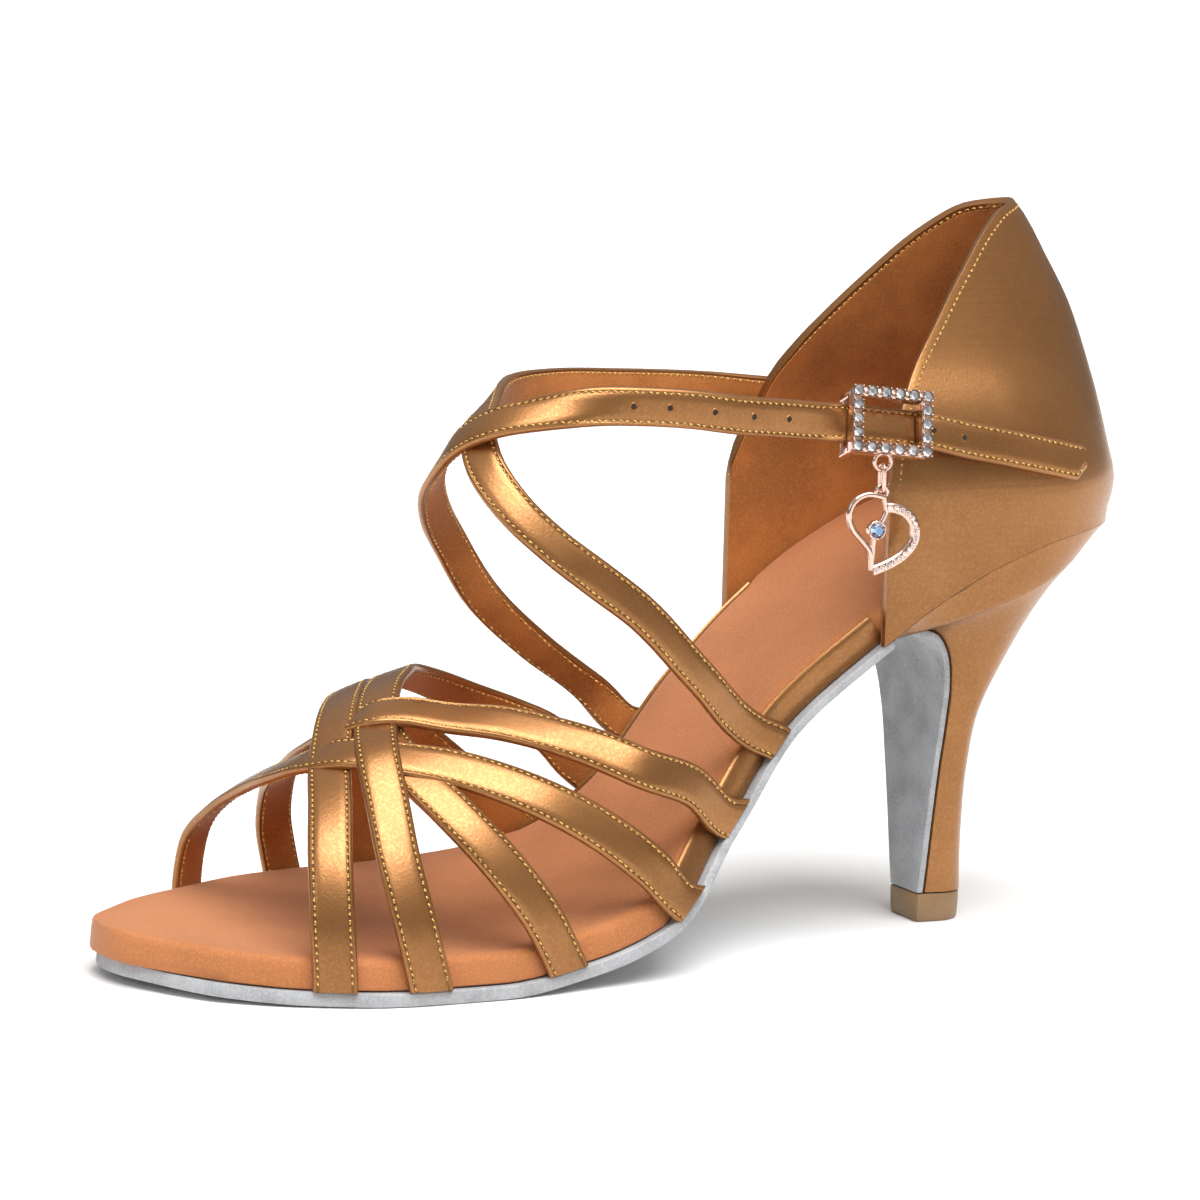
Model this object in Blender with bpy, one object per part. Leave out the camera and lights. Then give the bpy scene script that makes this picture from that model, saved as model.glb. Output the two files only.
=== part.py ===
"""Ballroom dance shoe, left foot: an open sandal upper of woven straps on a flared heel.

Metres, +Z up. The toe points to -X, the heel to +X, the outer side to -Y.
Heights, widths and stations in the tables are shares of the named sizes.
"""
import bpy
import bmesh
from math import atan, cos, pi, radians, sin, sqrt
from mathutils import Matrix, Vector

# Driving sizes of the last, in metres
SHOE_LENGTH = 0.208       # toe tip of the insole to the back of the counter
BALL_WIDTH = 0.0845       # insole, edge to edge, across the ball
HEEL_RISE = 0.0765        # how far the insole climbs from the ball to the back
INSTEP_HEIGHT = 0.047     # top of the foot above the insole, behind the toes
COUNTER_TOP = 0.1404      # floor to the top of the counter at the back
SEAT_HALF = 0.028         # half width of the counter at the heel seat

# Walls, layers and gaps
GAP = 0.0003
INSOLE_THICK = 0.0056
INSOLE_ROUND = 0.0016
INSOLE_EASE = 0.0005      # clearance of the insole inside the counter
SOLE_THICK = 0.0025
SHANK_THICK = 0.0017
FLAP_THICK = 0.0013
SOLE_EDGE = 0.0012        # sole beyond the insole at the forefoot
SOLE_SETBACK = 0.0016     # of the sole behind the insole at the toe
SOLE_CHAMFER = 0.0004
COUNTER_WALL = 0.0018
RAND_THICK = 0.001
STRAP_WIDTH = 0.008
LONG_WIDTH = 0.0072       # the two long straps
STRAP_THICK = 0.0017
STRAP_EDGE = 0.0004       # rounding of a strap's edge
WEAVE_STEP = 0.00125      # how far a strap is raised where it crosses another
SLIVER = 0.00009          # points of a joined strap closer than this are made one
METAL_SLIVER = 0.00001    # the same for the buckle and the charm
TRIM_REACH = 0.012        # how far the cut that ends the straps reaches past the insole

# Heel tip
TIP_HEIGHT = 0.0055

# Buckle, its bar, and the charm that hangs from it
BUCKLE_LONG = 0.0155
BUCKLE_HIGH = 0.0124
BUCKLE_BAND = 0.0019
BUCKLE_DEEP = 0.0034
BUCKLE_ROUND = 0.0009
BAR_RADIUS = 0.0006
POST_WIDTH = 0.0014
POST_DEEP = 0.0013
TAB_THICK = 0.0008
TAB_HIGH = 0.006
TAB_LONG = 0.0135
WIRE = 0.0004             # radius of the eye's and the link's wire
EYE_RADIUS = 0.0016
EYE_ALONG = -0.0012       # from the middle of the buckle
LINK_DROP = 0.0028        # between the link's two bends
HEART_SIZE = 0.0149
HEART_WIRE = 0.0006
HEART_BAND = 0.0021
HEART_THICK = 0.0013
STONE_RADIUS = 0.0017

# The insole's top line and outline: shares of SHOE_LENGTH, HEEL_RISE and BALL_WIDTH
BED = (
    # station, rise, outer, inner
    (0.000, 0.026, 0.036, 0.030),
    (0.006, 0.025, 0.088, 0.078),
    (0.014, 0.023, 0.128, 0.112),
    (0.027, 0.021, 0.174, 0.150),
    (0.048, 0.017, 0.236, 0.210),
    (0.072, 0.012, 0.296, 0.277),
    (0.135, 0.003, 0.395, 0.395),
    (0.216, 0.000, 0.458, 0.500),
    (0.298, 0.000, 0.463, 0.535),
    (0.379, 0.028, 0.441, 0.470),
    (0.451, 0.090, 0.420, 0.365),
    (0.523, 0.270, 0.305, 0.250),
    (0.595, 0.510, 0.258, 0.258),
    (0.667, 0.680, 0.280, 0.292),
    (0.739, 0.820, 0.302, 0.306),
    (0.812, 0.920, 0.306, 0.306),
    (0.875, 0.972, 0.306, 0.306),
    (0.940, 0.992, 0.306, 0.306),
    (1.000, 1.000, 0.306, 0.306),
)
SEAT_START = 0.60         # station from which the outline eases to the seat's width
SEAT_MID = 0.827          # station where the seat starts to turn round the back
SEAT_BACK = 0.984         # station of the back of the heel at the seat
SHANK = (0.40, 0.56)      # stations between which the sole thins to the shank
TOE_LENGTH = 0.07         # share over which the sole's edge comes out from under the toe
SHANK_END = 0.690         # station where the sole leaves the insole for the heel
RAND_START = 0.462
RAND_STEPS = 13           # sections of the insole between the rand's start and the seat
RAND_LAST = 8             # section at which the rand ends, inside the counter
TURN_DEGREES = (18, 34, 48, 60, 71, 80)   # sections round the back of the seat

# Height of the foot above the insole: shares of SHOE_LENGTH and INSTEP_HEIGHT
INSTEP = (
    # station, height
    (0.00, 0.20), (0.05, 0.34), (0.096, 0.51), (0.144, 0.66), (0.183, 0.745),
    (0.216, 0.81), (0.250, 0.872), (0.288, 0.936), (0.361, 1.00), (0.442, 1.00),
    (0.495, 0.979), (0.543, 0.936), (0.601, 0.851), (0.660, 0.76),
)

# Heel, from the seat down to the tip: shares of SHOE_LENGTH, HEEL_RISE and BALL_WIDTH,
# with the heights counted from the sole's top at the ball
HEEL = (
    # front x, front z, front half, back x, back z, half
    (0.719, 0.735, 0.279, 0.963, 0.969, 0.322),
    (0.750, 0.752, 0.247, 0.948, 0.925, 0.299),
    (0.777, 0.732, 0.215, 0.926, 0.868, 0.270),
    (0.795, 0.677, 0.188, 0.902, 0.778, 0.230),
    (0.804, 0.599, 0.165, 0.878, 0.656, 0.188),
    (0.807, 0.499, 0.140, 0.857, 0.532, 0.153),
    (0.807, 0.369, 0.115, 0.850, 0.382, 0.122),
    (0.807, 0.225, 0.092, 0.850, 0.225, 0.098),
    (0.807, 0.094, 0.073, 0.853, 0.094, 0.078),
)
HEEL_FOOT = (0.807, 0.064, 0.855, 0.069)  # front x, front half, back x and half at the tip
HEEL_WIDEST = 0.42        # share of a section's length at which it is widest
LIP = 0.3                 # where the heel's front lip starts, between the sole's two lines

# Back of the counter and how far its sides lean in: shares of COUNTER_TOP,
# SHOE_LENGTH and of its own half width at the seat
COUNTER_BACK = (
    # height, back, lean
    (0.30, 0.978, 1.000), (0.57, 0.984, 1.000), (0.617, 0.992, 1.000), (0.675, 0.983, 0.950),
    (0.731, 0.974, 0.855), (0.788, 0.964, 0.700), (0.857, 0.947, 0.560),
    (0.920, 0.923, 0.450), (0.980, 0.898, 0.340), (1.000, 0.886, 0.310),
)
# Top edge of the counter, front to back: shares of SHOE_LENGTH and COUNTER_TOP
COUNTER_EDGE = (
    # outer x, inner x, height
    (0.697, 0.665, 0.600), (0.700, 0.671, 0.645), (0.709, 0.689, 0.706),
    (0.725, 0.699, 0.755), (0.738, 0.710, 0.784), (0.765, 0.738, 0.836),
    (0.798, 0.780, 0.901), (0.833, 0.824, 0.960), (0.862, 0.856, 0.990),
    (0.886, 0.886, 1.000),
)
COUNTER_SIDE_COLUMNS = 7
COUNTER_ROWS = 9

# Woven straps over the toes. Around runs from 0 at the insole's outer edge to 1 at
# its inner edge, and past either end down the insole's side, an insole's thickness
# for each 1. Lift counts weave steps, and sag is the share of the foot's height
# that an empty strap loses.
VAMP = (
    # outer 1 to inner 4: station, around, lift, sag
    ((0.152, -1.9, 0, 0), (0.151, -0.8, 0, 0), (0.149, 0.07, 0, 0), (0.156, 0.195, 0, 0),
     (0.168, 0.285, -0.6, 0), (0.181, 0.36, -1.0, 0), (0.195, 0.41, -0.5, 0.01),
     (0.212, 0.455, 0.5, 0.02), (0.240, 0.53, 0.5, 0.03), (0.285, 0.645, 0, 0.04),
     (0.330, 0.745, -0.2, 0.05), (0.375, 0.825, 0, 0.04), (0.406, 0.88, 0, 0.02),
     (0.435, 0.935, 0, 0), (0.459, 0.985, 0, 0), (0.468, 1.7, 0, 0), (0.474, 2.9, 0, 0)),
    # outer 2 to inner 5
    ((0.238, -1.9, 0, 0), (0.230, -0.8, 0, 0), (0.216, 0.06, 0, 0), (0.209, 0.155, -0.2, 0),
     (0.212, 0.25, 0, 0), (0.219, 0.325, 0.8, 0), (0.236, 0.405, -0.2, 0),
     (0.260, 0.475, -0.2, 0), (0.290, 0.545, -0.3, 0.02), (0.322, 0.625, -0.3, 0.03),
     (0.361, 0.69, 0, 0.05), (0.409, 0.76, 0, 0.05), (0.450, 0.825, 0, 0.03),
     (0.486, 0.90, 0, 0), (0.510, 0.975, 0, 0), (0.521, 1.7, 0, 0), (0.528, 2.9, 0, 0)),
    # outer 3 to inner 3
    ((0.364, -1.9, 0, 0), (0.356, -0.8, 0, 0), (0.334, 0.04, 0, 0), (0.298, 0.12, 0, 0),
     (0.264, 0.205, -0.4, 0), (0.243, 0.285, -1.0, 0), (0.236, 0.365, -1.2, 0),
     (0.240, 0.45, -1.2, 0.02), (0.260, 0.555, -1.0, 0.03), (0.288, 0.67, -0.6, 0.03),
     (0.307, 0.78, -0.2, 0.02), (0.320, 0.87, 0, 0), (0.330, 0.93, 0, 0), (0.342, 1.0, 0, 0),
     (0.349, 1.8, 0, 0), (0.353, 2.9, 0, 0)),
    # outer 4 to inner 1
    ((0.482, -1.9, 0, 0), (0.470, -0.9, 0, 0), (0.446, 0.045, 0, 0), (0.399, 0.12, 0, 0),
     (0.353, 0.175, 0, 0), (0.312, 0.225, -0.4, 0), (0.274, 0.267, -0.5, 0),
     (0.236, 0.312, -0.4, 0), (0.200, 0.36, 0.1, 0), (0.180, 0.405, 0.1, 0.05),
     (0.167, 0.485, -0.6, 0.14), (0.164, 0.59, -0.4, 0.24), (0.158, 0.71, 0, 0.30),
     (0.152, 0.87, 0, 0.22), (0.150, 0.98, 0, 0), (0.149, 1.7, 0, 0), (0.149, 2.9, 0, 0)),
    # outer 5 to inner 2
    ((0.541, -1.9, 0, 0), (0.529, -0.8, 0, 0), (0.498, 0.08, 0, 0), (0.447, 0.17, 0, 0),
     (0.411, 0.22, 0, 0), (0.370, 0.265, 0, 0), (0.332, 0.308, -0.4, 0),
     (0.293, 0.35, -0.6, 0), (0.257, 0.39, 0.5, 0), (0.236, 0.41, 0.8, 0),
     (0.221, 0.445, 0, 0.03), (0.213, 0.53, -0.6, 0.13), (0.221, 0.66, -0.4, 0.25),
     (0.238, 0.82, 0, 0.22), (0.248, 0.93, 0, 0.05), (0.257, 0.99, 0, 0),
     (0.263, 1.7, 0, 0), (0.266, 2.9, 0, 0)),
)
VAMP_STEPS = 2            # sections between two rows of the tables
LONG_STEPS = 3

# The two long straps round the instep: shares of SHOE_LENGTH, BALL_WIDTH and
# COUNTER_TOP. Their ends on the insole and on the counter are worked out.
UNDER_ANCHOR = (0.576, 0.580)   # stations at the top and the bottom of the outer side
UNDER_STRAP = (
    # x, y, z
    (0.504, -0.345, 0.393), (0.441, -0.365, 0.481), (0.401, -0.360, 0.524),
    (0.364, -0.335, 0.566), (0.333, -0.285, 0.614), (0.320, -0.215, 0.658),
    (0.326, -0.130, 0.696), (0.356, 0.000, 0.722), (0.400, 0.130, 0.735),
    (0.470, 0.225, 0.736), (0.543, 0.275, 0.731), (0.620, 0.300, 0.725),
)
UNDER_END = ((0.690, 0.715), (0.730, 0.709))      # x and height on the counter's inner side
OVER_ANCHOR = (0.556, 0.561)    # stations at the top and the bottom of the inner side
OVER_STRAP = (
    # x, y, z
    (0.629, -0.298, 0.717), (0.588, -0.310, 0.723), (0.543, -0.322, 0.729),
    (0.496, -0.320, 0.738), (0.452, -0.305, 0.742), (0.408, -0.285, 0.742),
    (0.367, -0.245, 0.732), (0.330, -0.185, 0.716), (0.314, -0.105, 0.690),
    (0.312, -0.020, 0.655), (0.320, 0.075, 0.617), (0.337, 0.150, 0.578),
    (0.368, 0.235, 0.528), (0.412, 0.290, 0.448), (0.470, 0.310, 0.374),
    (0.525, 0.295, 0.313),
)
OVER_TAIL = ((0.900, 0.649), (0.888, 0.653), (0.848, 0.666), (0.806, 0.678), (0.768, 0.687),
             (0.739, 0.696))    # x and height on the counter's outer side
ANKLE = 0.46              # station of the middle of the ankle
TILT_HEIGHT = (0.50, 0.72)      # heights between which a long strap tips up
TILT_FRONT = (0.33, 0.44)       # stations between which it does in front
FRONT_TILT = 1.0
UNDER_TILT = 0.4
OVER_TILT = 0.9
BUCKLE_AT = (0.690, 0.7035)     # the same, for the middle of the buckle
BUCKLE_BEFORE = (0.662, 0.7080)

# Charm, seen from outside: shares of HEART_SIZE from its pivot, x towards the heel
HEART_LOBE = ((0.05, -0.08), (-0.06, -0.05), (-0.20, -0.04), (-0.35, -0.12), (-0.42, -0.28),
              (-0.37, -0.46), (-0.24, -0.61), (-0.13, -0.75), (-0.10, -0.98))
HEART_STEM = ((0.04, -0.09), (0.07, -0.24), (0.02, -0.36), (-0.06, -0.48), (-0.09, -0.66),
              (-0.10, -0.90))
HEART_SIDE = ((0.06, -0.20), (0.18, -0.21), (0.34, -0.28), (0.45, -0.44), (0.45, -0.62),
              (0.32, -0.79), (0.10, -0.92), (-0.09, -0.99))
STONE_AT = (-0.06, -0.48)

COLORS = {
    "gold": ((0.43, 0.25, 0.10, 1), 0.38, 0.6),
    "suede": ((0.44, 0.19, 0.09, 1), 0.9, 0.0),
    "grey": ((0.55, 0.57, 0.60, 1), 0.95, 0.0),
    "tip": ((0.32, 0.20, 0.09, 1), 0.4, 0.0),
    "metal": ((0.82, 0.55, 0.42, 1), 0.2, 1.0),
}
SMOOTH_ANGLE = radians(35)


def shade(obj, finish):
    color, rough, metal = COLORS[finish]
    mat = bpy.data.materials.new(obj.name)
    mat.use_nodes = True
    bsdf = mat.node_tree.nodes["Principled BSDF"]
    bsdf.inputs["Base Color"].default_value = color
    bsdf.inputs["Roughness"].default_value = rough
    bsdf.inputs["Metallic"].default_value = metal
    obj.data.materials.clear()
    obj.data.materials.append(mat)


def make_object(name, bm, finish):
    bmesh.ops.recalc_face_normals(bm, faces=bm.faces)
    mesh = bpy.data.meshes.new(name)
    bm.to_mesh(mesh)
    bm.free()
    mesh.shade_smooth()
    mesh.set_sharp_from_angle(angle=SMOOTH_ANGLE)
    obj = bpy.data.objects.new(name, mesh)
    bpy.context.scene.collection.objects.link(obj)
    shade(obj, finish)
    return obj


class Line:
    """A smooth line through a table's columns, without overshoot."""

    def __init__(self, rows, x_scale=1.0, y_scale=1.0, y_base=0.0):
        self.x = [r[0] * x_scale for r in rows]
        self.y = [r[1] * y_scale + y_base for r in rows]
        step = [b - a for a, b in zip(self.x, self.x[1:])]
        rise = [(b - a) / h for a, b, h in zip(self.y, self.y[1:], step)]
        self.slope = [rise[0]]
        for k in range(1, len(rise)):
            if rise[k - 1] * rise[k] <= 0:
                self.slope.append(0.0)
            else:
                near = 2 * step[k] + step[k - 1]
                far = step[k] + 2 * step[k - 1]
                self.slope.append((near + far) / (near / rise[k - 1] + far / rise[k]))
        self.slope.append(rise[-1])

    def __call__(self, x):
        x = min(max(x, self.x[0]), self.x[-1])
        k = max(i for i in range(len(self.x) - 1) if self.x[i] <= x)
        h = self.x[k + 1] - self.x[k]
        t = (x - self.x[k]) / h
        rise = self.y[k] * (1 + 2 * t) * (1 - t) ** 2 + self.y[k + 1] * t * t * (3 - 2 * t)
        lean = self.slope[k] * t * (1 - t) ** 2 + self.slope[k + 1] * t * t * (t - 1)
        return rise + h * lean


def column(rows, index):
    return [(row[0], row[index]) for row in rows]


SOLE_TOP = SOLE_THICK + GAP
bed_top = Line(column(BED, 1), SHOE_LENGTH, HEEL_RISE, SOLE_TOP + INSOLE_THICK)
bed_outer = Line(column(BED, 2), SHOE_LENGTH, BALL_WIDTH)
bed_inner = Line(column(BED, 3), SHOE_LENGTH, BALL_WIDTH)
instep = Line(INSTEP, SHOE_LENGTH, INSTEP_HEIGHT)
counter_back = Line(column(COUNTER_BACK, 1), COUNTER_TOP, SHOE_LENGTH)
counter_lean = Line(column(COUNTER_BACK, 2), COUNTER_TOP)
edge_outer = Line([(r[0], r[2]) for r in COUNTER_EDGE], SHOE_LENGTH, COUNTER_TOP)
edge_inner = Line([(r[1], r[2]) for r in COUNTER_EDGE], SHOE_LENGTH, COUNTER_TOP)

OUTER = -1
INNER = 1
SEAT_MID_X = SEAT_MID * SHOE_LENGTH
SEAT_BACK_X = SEAT_BACK * SHOE_LENGTH


def ease(x, start, end):
    """From 0 at start to 1 at end, with soft ends."""
    t = min(max((x - start) / (end - start), 0.0), 1.0)
    return t * t * (3 - 2 * t)


def bed_slope(x):
    step = SHOE_LENGTH * 0.004
    return atan((bed_top(x + step) - bed_top(x - step)) / (2 * step))


def insole_half(x, side):
    """Half width of the insole, with its rand, on one side."""
    line = bed_outer if side == OUTER else bed_inner
    seat = SEAT_HALF - COUNTER_WALL - INSOLE_EASE
    change = seat / line(SEAT_MID_X) - 1
    half = line(x) * (1 + change * ease(x, SEAT_START * SHOE_LENGTH, SEAT_MID_X))
    if x <= SEAT_MID_X:
        return half
    reach = SEAT_BACK_X - COUNTER_WALL - INSOLE_EASE - SEAT_MID_X
    return seat * sqrt(max(0.0, 1 - ((x - SEAT_MID_X) / reach) ** 2))


def seat_half(x, side):
    """The counter's outer face at the seat, which the heel's top follows."""
    if x <= SEAT_MID_X:
        return insole_half(x, side) + INSOLE_EASE + COUNTER_WALL
    reach = SEAT_BACK_X - SEAT_MID_X
    return SEAT_HALF * sqrt(max(0.0, 1 - ((x - SEAT_MID_X) / reach) ** 2))


def bed_point(x, y, depth):
    """A point at a depth under the insole's top, square to its slope."""
    turn = bed_slope(x)
    return Vector((x + depth * sin(turn), y, bed_top(x) - depth * cos(turn)))


def under_insole(x, depth):
    """Height of the line at a depth under the insole's top, above a place x."""
    station = x
    for _ in range(8):
        station = x - depth * sin(bed_slope(station))
    return bed_top(station) - depth * cos(bed_slope(station))


def skin(rings, name, finish):
    """A closed solid through rings that run up the outer side and back down the inner."""
    bm = bmesh.new()
    loops = [[bm.verts.new(p) for p in ring] for ring in rings]
    count = len(rings[0])
    for a, b in zip(loops, loops[1:]):
        for j in range(count):
            k = (j + 1) % count
            bm.faces.new((a[j], a[k], b[k], b[j]))
    for loop in (loops[0], loops[-1]):
        for j in range(count // 2 - 1):
            bm.faces.new((loop[j], loop[j + 1], loop[count - 2 - j], loop[count - 1 - j]))
    return make_object(name, bm, finish)


def mirrored(points):
    """One side's points, given as distance out and depth, then the other side's."""
    return [(-y, d) for y, d in points] + [(y, d) for y, d in reversed(points)]


def keep_largest(bm):
    """Drop the specks that a join leaves where two faces nearly meet."""
    left = set(bm.faces)
    islands = []
    while left:
        stack = [left.pop()]
        island = []
        while stack:
            face = stack.pop()
            island.append(face)
            near = {f for edge in face.edges for f in edge.link_faces} & left
            left -= near
            stack.extend(near)
        islands.append(island)
    islands.sort(key=len)
    for island in islands[:-1]:
        bmesh.ops.delete(bm, geom=island, context="FACES")


def fuse(obj, others, operation="UNION", merge=SLIVER):
    """Join or cut with other objects, which are then removed."""
    for other in others:
        mod = obj.modifiers.new("fuse", "BOOLEAN")
        mod.operation = operation
        mod.solver = "EXACT"
        mod.object = other
        graph = bpy.context.evaluated_depsgraph_get()
        mesh = bpy.data.meshes.new_from_object(obj.evaluated_get(graph))
        obj.modifiers.clear()
        obj.data = mesh
        bpy.data.objects.remove(other)
    finish = obj.data.materials[0]
    bm = bmesh.new()
    bm.from_mesh(obj.data)
    for face in bm.faces:
        face.material_index = 0
    bmesh.ops.remove_doubles(bm, verts=bm.verts, dist=merge)
    keep_largest(bm)
    bm.to_mesh(obj.data)
    bm.free()
    obj.data.materials.clear()
    obj.data.materials.append(finish)
    obj.data.shade_smooth()
    obj.data.set_sharp_from_angle(angle=SMOOTH_ANGLE)
    return obj


# Insole, rands and sole

def front_stations():
    """The table's stations ahead of the rands, and one between each two of them."""
    table = [row[0] * SHOE_LENGTH for row in BED if row[0] < RAND_START]
    stations = []
    for a, b in zip(table, table[1:]):
        stations += [a, (a + b) / 2]
    return stations + [table[-1]]


def arch_station(k):
    start = RAND_START * SHOE_LENGTH
    return start + (SEAT_MID_X - start) * k / RAND_STEPS


def build_insole():
    reach = SEAT_BACK_X - COUNTER_WALL - INSOLE_EASE - SEAT_MID_X
    step = RAND_THICK + GAP
    sections = [(x, 0.0) for x in front_stations()]
    sections += [(arch_station(0) - GAP, 0.0), (arch_station(0), step)]
    sections += [(arch_station(k), step) for k in range(1, RAND_LAST + 1)]
    sections.append((arch_station(RAND_LAST) + GAP, 0.0))
    sections += [(arch_station(k), 0.0) for k in range(RAND_LAST + 1, RAND_STEPS + 1)]
    sections += [(SEAT_MID_X + reach * sin(radians(a)), 0.0) for a in TURN_DEGREES]
    sections.append((SEAT_MID_X + reach * 0.997, 0.0))
    rings = []
    for x, inset in sections:
        ring = []
        for side in (OUTER, INNER):
            half = insole_half(x, side) - inset
            soft = min(INSOLE_ROUND, half * 0.6)
            edge = [(half, INSOLE_THICK), (half, INSOLE_ROUND),
                    (half - soft * 0.3, INSOLE_ROUND * 0.3), (half - soft, 0.0)]
            points = [bed_point(x, side * y, depth) for y, depth in edge]
            ring += points if side == OUTER else points[::-1]
        rings.append(ring)
    return skin(rings, "insole", "suede")


def build_rand(side, name):
    """The gold cover of the insole's edge along the arch."""
    rings = []
    for k in range(RAND_LAST + 1):
        x = arch_station(k)
        half = insole_half(x, side)
        corners = [(half, INSOLE_THICK), (half, INSOLE_ROUND * 0.4),
                   (half - RAND_THICK * 0.5, 0.0), (half - RAND_THICK, INSOLE_ROUND * 0.4),
                   (half - RAND_THICK, INSOLE_THICK * 0.7), (half - RAND_THICK, INSOLE_THICK)]
        rings.append([bed_point(x, side * y, depth) for y, depth in corners])
    return skin(rings, name, "gold")


def heel_front(row):
    return Vector((row[0] * SHOE_LENGTH, 0, SOLE_TOP + row[1] * HEEL_RISE))


def foot_front():
    return Vector((HEEL_FOOT[0] * SHOE_LENGTH, 0, TIP_HEIGHT + GAP))


def heel_front_line():
    """The heel's front, seat to tip, with each point's half width and way out."""
    points = [heel_front(row) for row in HEEL] + [foot_front()]
    halves = [row[2] * BALL_WIDTH for row in HEEL] + [HEEL_FOOT[1] * BALL_WIDTH]
    line = []
    for k, point in enumerate(points):
        before = points[max(k - 1, 0)]
        after = points[min(k + 1, len(points) - 1)]
        along = (after - before).normalized()
        line.append((point, halves[k], Vector((along.z, 0, -along.x))))
    return line


def build_sole():
    """Suede sole from the toe to the heel, then down the heel's front as a flap."""
    stations = front_stations()[:1] + front_stations()[2:]
    last = SHANK_END * SHOE_LENGTH
    stations += [arch_station(k) for k in range(RAND_STEPS) if arch_station(k) <= last]
    rings = []
    for x in stations:
        thin = ease(x, SHANK[0] * SHOE_LENGTH, SHANK[1] * SHOE_LENGTH)
        thick = SOLE_THICK + (SHANK_THICK - SOLE_THICK) * thin
        edge = SOLE_EDGE + (COUNTER_WALL + GAP - SOLE_EDGE) * thin
        toe = 1 - ease(x, 0.0, TOE_LENGTH * SHOE_LENGTH)
        ring = []
        for side in (OUTER, INNER):
            half = insole_half(x, side) + edge * (1 - toe)
            corners = [(half - SOLE_CHAMFER, thick), (half, thick - SOLE_CHAMFER), (half, 0.0)]
            points = [bed_point(x + SOLE_SETBACK * toe, side * y, INSOLE_THICK + GAP + d)
                      for y, d in corners]
            ring += points if side == OUTER else points[::-1]
        rings.append(ring)
    for point, half, away in heel_front_line():
        down = away if away.x < 0 else -away
        corners = [(half - SOLE_CHAMFER, FLAP_THICK), (half, FLAP_THICK - SOLE_CHAMFER), (half, 0.0)]
        ring = [point + down * (GAP + d) + Vector((0, y, 0)) for y, d in mirrored(corners)]
        rings.append(ring)
    return skin(rings, "outsole", "grey")


# Heel and its tip

def d_section(front, front_half, back, half):
    """A section with a flat front and a round back, outer side first."""
    points = []
    for share in (0.0, 0.33, 0.67):
        width = front_half + (half - front_half) * sin(pi / 2 * share)
        points.append((share * HEEL_WIDEST, width))
    for degrees in (0, 20, 38, 54, 68, 80, 86):
        turn = radians(degrees)
        points.append((HEEL_WIDEST + (1 - HEEL_WIDEST) * sin(turn), half * cos(turn)))
    ring = [front.lerp(back, s) + Vector((0, OUTER * y, 0)) for s, y in points]
    ring += [front.lerp(back, s) + Vector((0, INNER * y, 0)) for s, y in reversed(points)]
    return ring


def heel_lip():
    """Where the heel's thin front lip starts under the insole."""
    last = max(arch_station(k) for k in range(RAND_STEPS)
               if arch_station(k) <= SHANK_END * SHOE_LENGTH)
    start = bed_point(last, 0, INSOLE_THICK + GAP)
    return start.x + (heel_front(HEEL[0]).x - start.x) * LIP


def seat_ring(lip):
    """The heel's top, which follows the insole's underside and the counter's outline."""
    places = [lip + (SEAT_MID_X - lip) * share for share in (0.0, 0.33, 0.67)]
    for degrees in (0, 20, 38, 54, 68, 80, 86):
        places.append(SEAT_MID_X + (SEAT_BACK_X - SEAT_MID_X) * sin(radians(degrees)))
    ring = []
    for side in (OUTER, INNER):
        points = [Vector((x, side * seat_half(x, side), under_insole(x, INSOLE_THICK + GAP)))
                  for x in places]
        ring += points if side == OUTER else points[::-1]
    return ring


def build_heel():
    rings = [seat_ring(heel_lip())]
    for row in HEEL:
        back = Vector((row[3] * SHOE_LENGTH, 0, SOLE_TOP + row[4] * HEEL_RISE))
        rings.append(d_section(heel_front(row), row[2] * BALL_WIDTH, back, row[5] * BALL_WIDTH))
    back = Vector((HEEL_FOOT[2] * SHOE_LENGTH, 0, TIP_HEIGHT + GAP))
    rings.append(d_section(foot_front(), HEEL_FOOT[1] * BALL_WIDTH, back,
                           HEEL_FOOT[3] * BALL_WIDTH))
    return skin(rings, "heel", "gold")


def build_tip():
    front = HEEL_FOOT[0] * SHOE_LENGTH - GAP - FLAP_THICK
    back = HEEL_FOOT[2] * SHOE_LENGTH
    rings = []
    for height, grow in ((TIP_HEIGHT, 1.0), (TIP_HEIGHT * 0.15, 0.97), (0.0, 0.93)):
        inset = (back - front) * (1 - grow) / 2
        rings.append(d_section(Vector((front + inset, 0, height)),
                               HEEL_FOOT[1] * BALL_WIDTH * grow,
                               Vector((back - inset, 0, height)),
                               HEEL_FOOT[3] * BALL_WIDTH * grow))
    return skin(rings, "heel_tip", "tip")


# Counter

def counter_front(side):
    return COUNTER_EDGE[0][0 if side == OUTER else 1] * SHOE_LENGTH


def counter_place(seat_x, z, side):
    """A point of the counter's outer face over a place on the seat."""
    front = counter_front(side)
    squeeze = (counter_back(z) - front) / (SEAT_BACK_X - front)
    x = front + (seat_x - front) * squeeze
    return Vector((x, side * seat_half(seat_x, side) * counter_lean(z), z))


def counter_bottom(seat_x, side):
    z = under_insole(seat_x, INSOLE_THICK)
    for _ in range(6):
        z = under_insole(counter_place(seat_x, z, side).x, INSOLE_THICK)
    return z


def counter_height(seat_x, side):
    """Height of the top edge over a place on the seat."""
    line = edge_outer if side == OUTER else edge_inner
    low = counter_bottom(seat_x, side)
    high = COUNTER_TOP
    for _ in range(30):
        middle = (low + high) / 2
        if middle < line(counter_place(seat_x, middle, side).x):
            low = middle
        else:
            high = middle
    return low


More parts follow.
